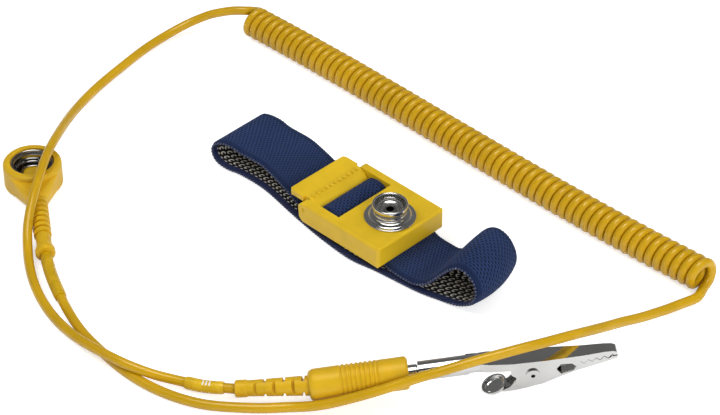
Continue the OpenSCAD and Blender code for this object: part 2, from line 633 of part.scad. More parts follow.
module plug_boot() {
    boot_l = norm(plug_at - tail_pt);
    turn = atan2(boot_dir[1], boot_dir[0]);
    rise = asin(boot_dir[2]);
    slit = 0.8;
    slit_in = 1.5;
    slit_turn = -33;
    color(yellow) difference() {
        translate(tail_pt) rotate([0, -rise, turn]) difference() {
            union() {
                translate([collar_l - 0.2, 0, 0]) rotate([0, 90, 0])
                    cylinder(d1 = pboot_tip_d, d2 = pboot_d, h = boot_l - collar_l + 1);
                turned_points([[0, 0], [0, collar_d / 2 - 0.3], [0.3, collar_d / 2],
                    [collar_l - 0.4, collar_d / 2], [collar_l, collar_d / 2 - 0.3], [collar_l, 0]]);
            }
            // Slits, each pair a quarter turn from the last
            for (k = [0 : slit_n - 1], side = [0, 180])
                rotate([slit_turn + 90 * (k % 2) + side, 0, 0])
                    translate([slit_s + k * slit_pitch, slit_in, -3]) cube([slit, 2, 6]);
        }
        // Face against the housing
        at_plug() translate([rear_s - 0.02, -8, -8]) cube([16, 16, 16]);
    }
}

module plug_housing() {
    r0 = plug_rear_d / 2;
    r1 = plug_front_d / 2;
    pitch = 1.2;
    grip_s = 7.8;
    groove = 0.22;
    ridge = r1 + 0.06;
    grip_l = grip_n * pitch;
    bump = [for (k = [0 : grip_n - 1]) each [[grip_s + k * pitch, r1 - groove],
        [grip_s + k * pitch + 0.25, ridge], [grip_s + k * pitch + 0.65, ridge],
        [grip_s + k * pitch + 0.9, r1 - groove]]];
    shoulder = [for (a = [0 : 15 : 90]) [rear_s + 1.8 - 1.8 * cos(a), r0 - 1.2 + 1.2 * sin(a)]];
    nose = [for (a = [0 : 15 : 90]) [plug_l - 1 + sin(a), r1 - 1 + cos(a)]];
    color(yellow) at_plug() difference() {
        turned_points(concat([[rear_s, 0]], shoulder, [[grip_s - 0.5, r1 - 0.05], [grip_s - 0.3, r1 - groove]],
            bump, [[grip_s + grip_l, r1 - 0.05]], nose, [[plug_l, 0]]));
        // Cavity and pin bore
        translate([1.5, 0, 0]) rotate([0, 90, 0]) cylinder(r = 2.4, h = 17.5);
        translate([18.9, 0, 0]) rotate([0, 90, 0]) cylinder(r = bore_r + 0.03, h = plug_l);
    }
}

module series_resistor() {
    color([0.55, 0.75, 0.82]) at_plug() {
        turned_points([[7, 0], [7, 0.9], [7.4, 1.25], [8.6, 1.25], [9, 1.05], [12.4, 1.05], [12.8, 1.25],
            [14, 1.25], [14.4, 0.9], [14.4, 0]]);
        translate([1.55, 0, 0]) rotate([0, 90, 0]) cylinder(r = 0.3, h = 6, $fn = 24);
        translate([14, 0, 0]) rotate([0, 90, 0]) cylinder(r = 0.3, h = 4.95, $fn = 24);
    }
}

module banana_pin() {
    core = core_d / 2;
    tip = pin_s + pin_l;
    color(nickel) at_plug()
        turned_points([[19, 0], [19, bore_r], [pin_s - 0.3, bore_r], [pin_s, bore_r - 0.3], [pin_s, core],
            [tip - 1.6, core], [tip - 1.6, bore_r - 0.25], [tip - 0.9, bore_r - 0.3], [tip, 0.8], [tip, 0]]);
}

module pin_spring() {
    core = core_d / 2 + 0.02;
    wall = 0.25;
    s0 = pin_s + 0.05;
    s1 = pin_s + pin_l - 1.65;
    mid = (s0 + s1) / 2;
    top = bore_r - barrel_gap;
    color(nickel) at_plug() difference() {
        turned_points([[s0, core], [s0, core + wall], [s0 + 1.5, core + wall], [mid - 2, top], [mid + 2, top],
            [s1 - 1.5, core + wall], [s1, core + wall], [s1, core], [s1 - 1.5, core], [mid + 2, top - wall],
            [mid - 2, top - wall], [s0 + 1.5, core]]);
        for (a = [0, 90]) translate([s0 + 1.6, 0, 0]) rotate([a, 0, 0])
            translate([0, -0.4, -4]) cube([s1 - s0 - 3.2, 0.8, 8]);
    }
}

// ---- Spring clip, in the plug's frame ----

// The clip seen from above: half width against length, narrower by waist at the barrel
function half_at(s, wide, front) = s < 60 ? wide : wide - (wide - front) * (s - 60) / (nose_s - 60);
module clip_plan(wide, front, s0, s1, waist = 0) {
    flare = 6.5;
    translate([0, 0, -20]) linear_extrude(40) polygon([[s0, waist - wide], [s0 + flare, -wide], [60, -wide],
        [s1, -half_at(s1, wide, front)], [s1, half_at(s1, wide, front)], [60, wide], [s0 + flare, wide],
        [s0, wide - waist]]);
}
// A row of teeth between two points, pointing to one side
function teeth(a, b, n, depth) = [for (k = [0 : n - 1]) each
    [a + (b - a) * k / n, a + (b - a) * (k + 0.5) / n + [0, depth]]];

upper_top = [[40, 2.3], [43.2, 1.6], [51.3, 0.5], [56.5, 0.3], [64, 0], [70, -0.3], [75.5, -0.3],
    [77.7, -0.5], [nose_s - 0.3, -0.9], [nose_s, -1.5]];
upper_low = concat([[nose_s, -1.9], [78, -1.9]], teeth([77.4, -1.4], [69.1, -2], teeth_n, -1),
    [[69.1, -2], [67.95, -3.45], [66.9, -2.3], [64, -1.9], [62.7, -3.3], [64.2, -5.5], [63.4, -6.1],
     [59, -7.5], [54.4, -8],
     [51.9, -6.2], [52.3, -4.4], [51.2, -3.4], [51, -1.8], [42, -0.9]]);
module upper_side() { polygon(concat(upper_top, upper_low, [[40, -0.8]])); }
module upper_hollow() {
    polygon([[39, 2.3 - sheet_t], [43.2, 1.6 - sheet_t], [51.3, 0.5 - sheet_t], [56.5, 0.3 - sheet_t],
        [64, -sheet_t], [70, -0.3 - sheet_t], [75.5, -0.3 - sheet_t], [77.7, -0.5 - sheet_t], [77.9, -1.3],
        [77.9, -12], [39, -12]]);
}
module clip_upper_jaw() {
    color(nickel) at_plug() difference() {
        union() {
            difference() {
                intersection() {
                    across_y(2 * clip_half + 1) upper_side();
                    clip_plan(clip_half, nose_half, 39, nose_s + 1, 1.2);
                }
                intersection() {
                    across_y(2 * clip_half + 1) upper_hollow();
                    clip_plan(clip_half - sheet_t, nose_half - sheet_t, 38, nose_s + 1, 1.2);
                }
            }
            // Crimp marks where the barrel ends
            for (s = [41, 42.8]) translate([s, -1.2, 1.75]) sphere(0.5, $fn = 16);
            // Barrel, opened underneath where the channel begins
            difference() {
                translate([pin_s + 0.1, 0, 0]) rotate([0, 90, 0])
                    cylinder(r = barrel_r, h = 43.4 - pin_s);
                translate([barrel_end, -5, -6]) cube([6, 10, 5.2]);
            }
        }
        translate([pin_s, 0, 0]) rotate([0, 90, 0]) cylinder(r = bore_r, h = 43.6 - pin_s);
        translate([pivot[0], 0, pivot[1]]) rotate([90, 0, 0]) cylinder(d = rivet_d, h = 12, center = true);
    }
}

lower_half = clip_half - sheet_t - jaw_gap;
lower_low = [[78.8, -3.1], [73.3, -4.3], [67.7, -5.4], [63.4, -6.7], [59.4, -7.9], [55, -8.8], [51.2, -9.2],
    [48.4, -9]];
module lower_side() {
    polygon(concat([[nose_s, -2.3], [nose_s, -3.1]], lower_low, [[48.6, -8.6], [50.4, -7.9],
        [51.6, -6.6], [52.6, -5.4], [54.4, -2.6], [56, -1.9], [58.6, -2.2], [61.4, -5.9], [64.2, -5.6],
        [66.9, -5.2], [67.7, -4.5]], teeth([69.1, -2.4], [77.4, -1.8], teeth_n, -1), [[77.4, -2.3]]));
}
module lower_hollow() {
    polygon(concat([[78, 1], [78, -2.9]], [for (k = [1 : len(lower_low) - 1]) lower_low[k] + [0, sheet_t]],
        [[47, -8.5], [47, 1]]));
}
// The dish of the thumb pad, as a drawing of radius against height, filled or grown inwards by the sheet
module dish(fill) {
    r = pad_d / 2;
    bowl = [[0, -pad_dish], [0.55 * r, -pad_dish], [0.87 * r, -0.6 * pad_dish], [r, 0.3]];
    inner = [[r - sheet_t, 0.3], [0.87 * r - sheet_t, -0.6 * pad_dish + 0.25], [0.5 * r, sheet_t - pad_dish],
        [0, sheet_t - pad_dish]];
    polygon(fill ? concat(inner, [[0, 3], [r - sheet_t, 3]]) : concat(bowl, inner));
}
module at_pad() { translate([pad_at[0], 0, pad_at[1]]) rotate([0, -pad_tilt, 0]) children(); }
module clip_lower_jaw() {
    color(nickel) at_plug() {
        difference() {
            intersection() {
                across_y(2 * clip_half) lower_side();
                clip_plan(lower_half, nose_half, 46, nose_s + 1);
            }
            intersection() {
                across_y(2 * clip_half) lower_hollow();
                clip_plan(lower_half - sheet_t, nose_half - sheet_t, 45, nose_s + 1);
            }
            translate([pivot[0], 0, pivot[1]]) rotate([90, 0, 0])
                cylinder(d = rivet_d + 2 * rivet_gap, h = 12, center = true);
            at_pad() rotate_extrude() dish(true);
        }
        at_pad() rotate_extrude() dish(false);
    }
}

module clip_rivet() {
    head = 1.9;
    color(steel) at_plug() translate([pivot[0], 0, pivot[1]]) rotate([90, 0, 0]) difference() {
        union() {
            cylinder(d = rivet_d - 0.02, h = 2 * clip_half + 0.4, center = true);
            for (side = [-1, 1]) translate([0, 0, side * (clip_half + 0.27)])
                cylinder(r = head, h = 0.5, center = true);
        }
        cylinder(r = 0.55, h = 12, center = true);
    }
}

spring_r = rivet_d / 2 + 0.3 + wire_d / 2;
spring_turns = 2.5;
spring_pitch = 0.9;
function spring_pt(a) = [pivot[0] + spring_r * sin(a), spring_pitch * (a / 360 - spring_turns / 2),
    pivot[1] + spring_r * cos(a)];
spring_line = concat([[49.8, -1.12, -1], [53.2, -1.12, -1.7]],
    [for (k = [0 : spring_turns * 8]) spring_pt(k * 45)], [[54.4, 1.12, -5.9], [51.8, 1.12, -6.4]]);
function spring_ring(i) = let (way = heading(spring_line, i), side = unit([0, 1, 0] - way[1] * way),
    up = cross(way, side)) [for (k = [0 : 5])
        spring_line[i] + wire_d / 2 * (cos(k * 60) * side + sin(k * 60) * up)];
module clip_spring() {
    color(steel) at_plug() loft([for (i = [0 : len(spring_line) - 1]) spring_ring(i)]);
}

// Moves the whole strap so that the wristband stands centred on the frame's origin
module home() {
    translate([-home_x, 0, 0]) children();
}

home() elastic_band();
home() buckle_frame();
home() snap_stud();
home() stud_eyelet();
home() contact_plate();
home() clamp_lever();
home() socket_housing();
home() snap_socket();
home() socket_spring();
home() socket_terminal();
home() socket_boot();
home() socket_sleeve();
home() cord_socket_side();
home() cord_curly();
home() cord_plug_side();
home() value_sleeve();
home() plug_boot();
home() plug_housing();
home() series_resistor();
home() banana_pin();
home() pin_spring();
home() clip_upper_jaw();
home() clip_rivet();
home() clip_spring();
home() clip_lower_jaw();
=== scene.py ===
"""Dresses the wrist strap: its knitted band, moulded buckle, coiled lead and spring clip."""

import logging
from dataclasses import dataclass, field
from enum import Enum
from math import cos, pi, radians, sin
from typing import Callable, Sequence

import bmesh
import bpy
from mathutils import Matrix, Vector


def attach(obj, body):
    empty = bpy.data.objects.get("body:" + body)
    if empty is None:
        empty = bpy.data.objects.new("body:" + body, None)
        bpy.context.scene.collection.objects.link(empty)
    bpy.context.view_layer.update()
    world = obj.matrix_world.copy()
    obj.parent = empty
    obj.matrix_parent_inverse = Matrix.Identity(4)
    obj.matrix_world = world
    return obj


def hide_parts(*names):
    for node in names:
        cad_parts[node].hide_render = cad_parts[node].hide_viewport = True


log = logging.getLogger("wrist_strap")

MM = 0.001
HOME = Vector((-1.5, 0.0, 0.0))
SOCKET_AT = (-77.4, -52.3)
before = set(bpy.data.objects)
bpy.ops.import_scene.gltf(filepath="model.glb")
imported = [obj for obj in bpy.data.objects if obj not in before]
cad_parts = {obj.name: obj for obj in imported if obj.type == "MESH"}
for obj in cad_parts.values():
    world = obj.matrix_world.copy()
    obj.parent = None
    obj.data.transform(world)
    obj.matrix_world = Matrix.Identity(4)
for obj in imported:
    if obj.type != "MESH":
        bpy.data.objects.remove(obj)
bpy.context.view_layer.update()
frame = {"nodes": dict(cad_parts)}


# ---- Lines and meshes ----


def spline(points: Sequence[Sequence[float]], steps: int) -> list[list[float]]:
    """Runs a smooth curve through a list of points.

    Args:
        points: The points, of any number of coordinates each.
        steps: How many steps each stretch between two points gets.

    Returns:
        The points of the curve, the first and last ones included.
    """
    last = len(points) - 1
    width = len(points[0])
    out = []
    for i in range(last):
        b, c = points[i], points[i + 1]
        a = points[i - 1] if i > 0 else [2 * b[k] - c[k] for k in range(width)]
        d = points[i + 2] if i < last - 1 else [2 * c[k] - b[k] for k in range(width)]
        for j in range(steps):
            t = j / steps
            out.append(
                [
                    0.5
                    * (
                        2 * b[k]
                        + (c[k] - a[k]) * t
                        + (2 * a[k] - 5 * b[k] + 4 * c[k] - d[k]) * t * t
                        + (3 * b[k] - a[k] - 3 * c[k] + d[k]) * t**3
                    )
                    for k in range(width)
                ]
            )
    out.append(list(points[-1]))
    return out


def relax(points: Sequence[Vector], rounds: int) -> list[Vector]:
    """Evens small kinks out of a line while its ends stay where they are.

    Args:
        points: The line's points.
        rounds: How many times each point is drawn to its neighbours.

    Returns:
        The evened points.
    """
    out = list(points)
    for _ in range(rounds):
        out = [out[0], *[(a + 2 * b + c) / 4 for a, b, c in zip(out, out[1:], out[2:])], out[-1]]
    return out


def filled(rows: Sequence[tuple], length: int) -> list[tuple]:
    """Returns the rows, each filled out with zeros to one length."""
    return [(*row, *[0.0] * (length - len(row))) for row in rows]


def at_home(point: Vector) -> Vector:
    """Returns a point measured from the buckle in millimetres as a place in the scene."""
    return (point + HOME) * MM


def distances(points: Sequence[Vector]) -> list[float]:
    """Returns how far along the line each of its points lies."""
    out = [0.0]
    for a, b in zip(points, points[1:]):
        out.append(out[-1] + (b - a).length)
    return out


def link_mesh(name: str, mesh: bpy.types.Mesh) -> bpy.types.Object:
    """Puts a mesh in the scene as an object of the given name."""
    obj = bpy.data.objects.new(name, mesh)
    bpy.context.scene.collection.objects.link(obj)
    return obj


def link_bmesh(name: str, bm: bmesh.types.BMesh, place: Matrix = Matrix()) -> bpy.types.Object:
    """Puts a finished bmesh in the scene, and frees it.

    Args:
        name: The object's name.
        bm: The bmesh.
        place: Where its own frame stands, in metres.

    Returns:
        The new object.
    """
    mesh = bpy.data.meshes.new(name)
    bm.to_mesh(mesh)
    bm.free()
    mesh.transform(place)
    return link_mesh(name, mesh)


def dress(obj: bpy.types.Object, material: bpy.types.Material, body: str) -> None:
    """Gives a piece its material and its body."""
    obj.data.materials.append(material)
    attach(obj, body)


def smooth_by_angle(obj: bpy.types.Object, degrees: float) -> None:
    """Shades an object smooth, with its edges over an angle left sharp.

    Args:
        obj: The mesh object.
        degrees: The angle between two faces above which their edge is sharp.
    """
    mesh = obj.data
    for poly in mesh.polygons:
        poly.use_smooth = True
    bm = bmesh.new()
    bm.from_mesh(mesh)
    for edge in bm.edges:
        if len(edge.link_faces) == 2:
            edge.smooth = edge.calc_face_angle(0.0) < radians(degrees)
    bm.to_mesh(mesh)
    bm.free()


def tube(
    name: str,
    path: Sequence[Vector],
    radius: Callable[[int], float],
    sides: int,
) -> bpy.types.Object:
    """Sweeps a round section along a path and closes its ends.

    Args:
        name: The object's name.
        path: The points of the centreline.
        radius: The radius at each point of the path, by its index.
        sides: How many sides the section has.

    Returns:
        The new object, with UVs that run along and round the tube in metres.
    """
    bm = bmesh.new()
    rings = []
    along = distances(path)
    side = None
    for i, point in enumerate(path):
        way = (path[min(i + 1, len(path) - 1)] - path[max(i - 1, 0)]).normalized()
        if side is None:
            side = way.orthogonal().normalized()
        side = (side - side.dot(way) * way).normalized()
        up = way.cross(side)
        ring = []
        for k in range(sides):
            turn = 2 * pi * k / sides
            ring.append(bm.verts.new(point + radius(i) * (cos(turn) * side + sin(turn) * up)))
        rings.append(ring)
    uv = bm.loops.layers.uv.new("UVMap")
    for i in range(len(rings) - 1):
        for k in range(sides):
            n = (k + 1) % sides
            face = bm.faces.new((rings[i][k], rings[i][n], rings[i + 1][n], rings[i + 1][k]))
            spots = ((i, k), (i, k + 1), (i + 1, k + 1), (i + 1, k))
            for loop, (row, turn) in zip(face.loops, spots):
                loop[uv].uv = (along[row], turn / sides * 2 * pi * radius(row))
    bm.faces.new(list(reversed(rings[0])))
    bm.faces.new(rings[-1])
    bm.normal_update()
    obj = link_bmesh(name, bm)
    smooth_by_angle(obj, 50)
    return obj


def lathe(
    name: str, profile: Sequence[tuple[float, float]], place: Matrix, sides: int
) -> bpy.types.Object:
    """Turns an open or closed profile about a local Z axis.

    Args:
        name: The object's name.
        profile: Points of (radius, height) in millimetres, from inside to outside.
        place: Where the local frame stands, in metres.
        sides: How many sides the turned piece has.

    Returns:
        The new object.
    """
    bm = bmesh.new()
    turns = [2 * pi * k / sides for k in range(sides)]
    rings = []
    for r, z in profile:
        round_it = turns if r > 0 else [0.0]
        rings.append([bm.verts.new((r * MM * cos(a), r * MM * sin(a), z * MM)) for a in round_it])
    for a, b in zip(rings, rings[1:]):
        for k in range(sides):
            n = (k + 1) % sides
            corners = [a[k % len(a)], a[n % len(a)], b[n % len(b)], b[k % len(b)]]
            unique = list(dict.fromkeys(corners))
            if len(unique) > 2:
                bm.faces.new(unique)
    bmesh.ops.recalc_face_normals(bm, faces=bm.faces)
    obj = link_bmesh(name, bm, place)
    smooth_by_angle(obj, 40)
    return obj


# ---- Finishes ----


class Graph:
    """A node tree while it is put together."""

    def __init__(self, tree: bpy.types.NodeTree) -> None:
        """Starts with an empty node tree."""
        self.nodes = tree.nodes
        self.links = tree.links
        self.nodes.clear()

    def node(self, kind: str, inputs: dict | None = None, **settings: object) -> bpy.types.Node:
        """Adds a node.

        Args:
            kind: Blender's name of its kind, without the leading ShaderNode.
            inputs: What goes into its sockets, by name or number: sockets to link, or values.
            **settings: Its own settings.

        Returns:
            The new node.
        """
        made = self.nodes.new(f"ShaderNode{kind}")
        for key, value in settings.items():
            setattr(made, key, value)
        for key, value in (inputs or {}).items():
            if isinstance(value, bpy.types.NodeSocket):
                self.links.new(value, made.inputs[key])
            else:
                made.inputs[key].default_value = value
        return made

    def maths(self, operation: str, *values: object) -> bpy.types.NodeSocket:
        """Returns the result of a math node on up to three sockets or numbers."""
        return self.node("Math", dict(enumerate(values)), operation=operation).outputs[0]

    def ramp(
        self, value: bpy.types.NodeSocket, stops: Sequence[tuple[float, tuple[float, float, float]]]
    ) -> bpy.types.NodeSocket:
        """Turns a value into colours.

        Args:
            value: The value from 0 to 1.
            stops: The places and colours.

        Returns:
            The colour's socket.
        """
        made = self.node("ValToRGB", {0: value})
        while len(made.color_ramp.elements) < len(stops):
            made.color_ramp.elements.new(0.5)
        for element, (place, colour) in zip(made.color_ramp.elements, stops):
            element.position = place
            element.color = (*colour, 1.0)
        return made.outputs[0]

    def mixed(self, share: object, low: object, high: object) -> bpy.types.NodeSocket:
        """Returns the colour part of the way from low to high."""
        return self.node("MixRGB", {0: share, 1: low, 2: high}).outputs[0]


class Tree(Graph):
    """The node tree of one material while it is put together."""

    def __init__(self, name: str) -> None:
        """Starts a material with its shader and output."""
        self.material = bpy.data.materials.new(name)
        self.material.use_nodes = True
        super().__init__(self.material.node_tree)
        self.shader = self.node("BsdfPrincipled")
        self.node("OutputMaterial", {"Surface": self.shader.outputs[0]})

    def set(self, socket: str, value: object) -> None:
        """Gives a socket of the shader one value for the whole surface, or links it."""
        if isinstance(value, bpy.types.NodeSocket):
            self.links.new(value, self.shader.inputs[socket])
        else:
            self.shader.inputs[socket].default_value = value

    def glow_under(self, weight: float, depth: tuple[float, float, float]) -> None:
        """Scatters some light under the skin, to a depth in metres for each colour."""
        self.set("Subsurface Weight", weight)
        self.set("Subsurface Radius", depth)
        self.set("Subsurface Scale", 1.0)

    def plus(self, a: object, b: object) -> bpy.types.NodeSocket:
        """Returns the sum of two values."""
        return self.maths("ADD", a, b)

    def minus(self, a: object, b: object) -> bpy.types.NodeSocket:
        """Returns the first value less the second."""
        return self.maths("SUBTRACT", a, b)

    def times(self, a: object, b: object) -> bpy.types.NodeSocket:
        """Returns the product of two values."""
        return self.maths("MULTIPLY", a, b)

    def over(self, a: object, b: object) -> bpy.types.NodeSocket:
        """Returns the first value divided by the second."""
        return self.maths("DIVIDE", a, b)

    def square(self, a: bpy.types.NodeSocket) -> bpy.types.NodeSocket:
        """Returns the square of a value."""
        return self.maths("POWER", a, 2.0)

    def surface(self) -> tuple[bpy.types.NodeSocket, bpy.types.NodeSocket]:
        """Returns the places along and across or round the surface, in metres."""
        split = self.node("SeparateXYZ", {0: self.node("TexCoord").outputs["UV"]})
        return split.outputs[0], split.outputs[1]

    def noise(self, scale: float, detail: float) -> bpy.types.NodeSocket:
        """Adds a noise texture laid through the object.

        Args:
            scale: Its scale.
            detail: Its detail.

        Returns:
            The noise's height socket.
        """
        place = self.node("TexCoord").outputs["Object"]
        inputs = {"Vector": place, "Scale": scale, "Detail": detail}
        return self.node("TexNoise", inputs).outputs[0]

    def clamped(self, value: bpy.types.NodeSocket) -> bpy.types.NodeSocket:
        """Returns a value kept from 0 to 1."""
        return self.node("Clamp", {0: value}).outputs[0]

    def blend(self, share: object, low: object, high: object) -> bpy.types.NodeSocket:
        """Returns the value part of the way from low to high."""
        return self.plus(low, self.times(share, self.minus(high, low)))

    def stitch(
        self,
        along: bpy.types.NodeSocket,
        across: bpy.types.NodeSocket,
        cell: tuple[float, float],
        reach: tuple[float, float],
        slant: float,
        hollow: float = 1.0,
    ) -> bpy.types.NodeSocket:
        """Returns staggered slanted oval marks or rings, 1 in their middles and 0 between them.

        Args:
            along: The place along the strip, in metres.
            across: The place across it, in metres.
            cell: The spacing of the marks along and across, in metres.
            reach: Half of a mark's length and width, in cells.
            slant: How far a mark leans along the strip, in cells.
            hollow: Half of a ring's line as a share of the mark, or 1 for a full mark.

        Returns:
            The marks' socket.
        """
        edge, ahead = 2.2, 100.0
        rows = self.over(across, cell[1])
        shift = self.times(self.maths("MODULO", self.maths("FLOOR", rows), 2.0), 0.5)
        y = self.minus(self.maths("FRACT", rows), 0.5)
        lean = self.times(y, slant)
        columns = self.plus(self.plus(self.over(along, cell[0]), shift), lean)
        x = self.minus(self.maths("FRACT", self.plus(columns, ahead)), 0.5)
        wide = self.square(self.over(self.maths("ABSOLUTE", x), reach[0]))
        tall = self.square(self.over(self.maths("ABSOLUTE", y), reach[1]))
        out = self.maths("SQRT", self.plus(wide, tall))
        away = self.maths("ABSOLUTE", self.minus(out, 1 - hollow))
        return self.clamped(self.times(self.minus(hollow, away), edge / hollow))

    def bump(self, height: bpy.types.NodeSocket, depth: float, strength: float) -> None:
        """Adds a bump.

        Args:
            height: The height's socket, from 0 to 1.
            depth: The height of 1, in metres.
            strength: How strongly it shows.
        """
        inputs = {"Strength": strength, "Distance": depth, "Height": height}
        self.set("Normal", self.node("Bump", inputs).outputs[0])


def shade(colour: tuple[float, float, float], by: float) -> tuple[float, float, float]:
    """Returns a colour made lighter or darker by a factor."""
    return tuple(min(1.0, c * by) for c in colour)


@dataclass(frozen=True)
class Moulding:
    """A moulded plastic: satin skin, faint flow marks, painted edge highlights and crease shade."""

    name: str
    colour: tuple[float, float, float]
    roughness: float = 0.34
    grain: float = 0.00003
    body: float = 0.08

    def make(self) -> bpy.types.Material:
        """Builds the material."""
        tree = Tree(self.name)
        tree.set("Specular IOR Level", 0.5)
        tree.glow_under(self.body, (0.0018, 0.0009, 0.0002))
        flow = tree.noise(160.0, 3.0)
        # Pointiness paints convex edges paler as highlight and creases darker as shade.
        edge = tree.node("NewGeometry").outputs["Pointiness"]
        painted_edge_light_and_shade = tree.times(tree.minus(edge, 0.5), 1.6)
        value = tree.plus(flow, painted_edge_light_and_shade)
        pale, dim = shade(self.colour, 1.12), shade(self.colour, 0.9)
        tree.set("Base Color", tree.ramp(value, ((0.2, dim), (0.55, self.colour), (0.95, pale))))
        grain = tree.noise(2600.0, 2.0)
        tree.set("Roughness", tree.maths("MULTIPLY_ADD", grain, 0.16, self.roughness - 0.08))
        tree.bump(grain, self.grain, 0.6)
        return tree.material


@dataclass(frozen=True)
class CordSkin:
    """Extruded cord: glossy skin with drawing lines along it and slight shade changes."""

    name: str
    colour: tuple[float, float, float]
    roughness: float = 0.2

    def make(self) -> bpy.types.Material:
        """Builds the material."""
        tree = Tree(self.name)
        tree.glow_under(0.04, (0.0012, 0.0006, 0.00015))
        cloud = tree.noise(90.0, 3.0)
        pale, dim = shade(self.colour, 1.1), shade(self.colour, 0.88)
        tree.set("Base Color", tree.ramp(cloud, ((0.3, dim), (0.6, self.colour), (0.85, pale))))
        place = tree.node("TexCoord").outputs["UV"]
        stretch = tree.node("Mapping", {"Vector": place, "Scale": (60.0, 2200.0, 1.0)})
        lines = tree.node("TexNoise", {"Vector": stretch.outputs[0], "Scale": 1.0}).outputs[0]
        tree.set("Roughness", tree.maths("MULTIPLY_ADD", lines, 0.14, self.roughness - 0.07))
        tree.bump(lines, 0.00002, 0.5)
        return tree.material


@dataclass(frozen=True)
class Plating:
    """Polished or pressed metal with fine handling marks."""

    name: str
    colour: tuple[float, float, float]
    roughness: float = 0.12
    marks: float = 0.1

    def make(self) -> bpy.types.Material:
        """Builds the material."""
        tree = Tree(self.name)
        tree.set("Metallic", 1.0)
        tree.set("Base Color", (*self.colour, 1.0))
        scuff = tree.noise(700.0, 5.0)
        cloud = tree.noise(120.0, 2.0)
        mixed = tree.times(scuff, cloud)
        base = self.roughness - self.marks * 0.35
        tree.set("Roughness", tree.maths("MULTIPLY_ADD", mixed, self.marks * 2, base))
        tree.bump(scuff, 0.000001, 0.05)
        stops = ((0.25, shade(self.colour, 0.88)), (0.75, self.colour))
        tree.set("Base Color", tree.ramp(cloud, stops))
        return tree.material


@dataclass(frozen=True)
class Weave:
    """What the band's two faces share: the strip's measure and its ribbed hems."""

    width: float = 0.020
    hem: float = 0.0017
    rib: float = 0.0006
    fade: float = 0.0003

    def parts(self, tree: Tree) -> tuple[bpy.types.NodeSocket, ...]:
        """Works out where a spot of the strip lies.

        Args:
            tree: The material's node tree.

        Returns:
            The places along and across, the distance from the nearer edge, 1 in the hem and 0 in
            the field with a short fade, and the hem's slanted whipping stitches from 0 to 1.
        """
        along, across = tree.surface()
        off = tree.maths("ABSOLUTE", tree.minus(across, self.width / 2))
        edge = tree.minus(self.width / 2, off)
        hem = tree.clamped(tree.over(tree.minus(self.hem, edge), self.fade))
        row = tree.over(tree.maths("MULTIPLY_ADD", edge, 0.5, along), self.rib)
        wave = tree.maths("SINE", tree.times(row, 2 * pi))
        return along, across, edge, hem, tree.maths("MULTIPLY_ADD", wave, 0.5, 0.5)


@dataclass(frozen=True)
class Knit:
    """The band's outer face: a fine knit pitted with staggered slanted dimples."""

    name: str
    colour: tuple[float, float, float]
    pitch: float = 0.00115
    row: float = 0.00085
    weave: Weave = Weave()

    def make(self) -> bpy.types.Material:
        """Builds the material."""
        tree = Tree(self.name)
        tree.set("Roughness", 0.9)
        tree.set("Specular IOR Level", 0.18)
        tree.set("Sheen Weight", 0.12)
        tree.set("Sheen Roughness", 0.5)
        tree.set("Sheen Tint", (0.45, 0.58, 0.95, 1.0))
        along, across, _, hem, ribs = self.weave.parts(tree)
        dimple = tree.stitch(along, across, (self.pitch, self.row), (0.42, 0.36), 0.55)
        fibre = tree.noise(5200.0, 3.0)
        cloud = tree.noise(60.0, 2.0)
        # The dimples are painted dark as shade in the pits, and the knit between them pale as
        # highlight.
        painted_pit_shade_and_highlight = tree.minus(0.78, tree.times(dimple, 0.82))
        # The hem's ribs are painted lighter on the crests and darker in the grooves, as light and
        # shade.
        painted_hem_rib_shade = tree.maths("MULTIPLY_ADD", ribs, 0.4, 0.26)
        tone = tree.blend(hem, painted_pit_shade_and_highlight, painted_hem_rib_shade)
        tone = tree.plus(tone, tree.times(tree.minus(fibre, 0.5), 0.42))
        tone = tree.plus(tone, tree.times(tree.minus(cloud, 0.5), 0.3))
        # The upper tones lift the navy far above its own colour as painted highlight.
        tones = ((0.08, 0.22), (0.42, 0.75), (0.72, 1.35), (0.98, 2.3))
        stops = [(place, shade(self.colour, by)) for place, by in tones]
        tree.set("Base Color", tree.ramp(tone, stops))
        tree.bump(tone, 0.0003, 1.0)
        return tree.material


@dataclass(frozen=True)
class Lining:
    """The band's inner face: dark knit with rows of silvery conductive thread loops."""

    name: str
    dark: tuple[float, float, float]
    silver: tuple[float, float, float]
    hem_colour: tuple[float, float, float]
    pitch: float = 0.0019
    row: float = 0.0019
    inset: float = 0.0004
    opening_shift: float = 0.22
    weave: Weave = Weave()

    def make(self) -> bpy.types.Material:
        """Builds the material."""
        tree = Tree(self.name)
        tree.set("Roughness", 0.6)
        tree.set("Specular IOR Level", 0.4)
        along, _, edge, hem, ribs = self.weave.parts(tree)
        cell = (self.pitch, self.row)
        inward = tree.minus(edge, self.weave.hem + self.inset)
        loop = tree.stitch(along, inward, cell, (0.36, 0.44), 0.3, 0.34)
        behind = tree.plus(along, self.opening_shift * self.pitch)
        opening = tree.stitch(behind, inward, cell, (0.34, 0.3), 0.3)
        stitch = tree.clamped(tree.minus(loop, tree.times(opening, 0.8)))
        fibre = tree.noise(4200.0, 3.0)
        # In the lining this noise is wear only: it dims the silver thread at random.
        wear_and_painted_shade = tree.noise(520.0, 2.0)
        silver = tree.times(stitch, tree.maths("MULTIPLY_ADD", wear_and_painted_shade, 0.9, 0.6))
        silver = tree.times(silver, tree.minus(1.0, hem))
        tone = tree.plus(silver, tree.times(fibre, 0.14))
        deep, dull = shade(self.dark, 0.5), shade(self.silver, 0.55)
        body = tree.ramp(tone, ((0.05, deep), (0.25, self.dark), (0.55, dull), (0.85, self.silver)))
        # The hem's ribs are painted darker in the grooves and lighter on the crests, as painted
        # shade and highlight.
        low, high = shade(self.hem_colour, 0.35), shade(self.hem_colour, 1.5)
        painted_rib_shade_edging = tree.ramp(ribs, ((0.1, low), (0.9, high)))
        tree.set("Base Color", tree.mixed(hem, body, painted_rib_shade_edging))
        tree.bump(tree.blend(hem, tone, ribs), 0.0002, 0.9)
        return tree.material


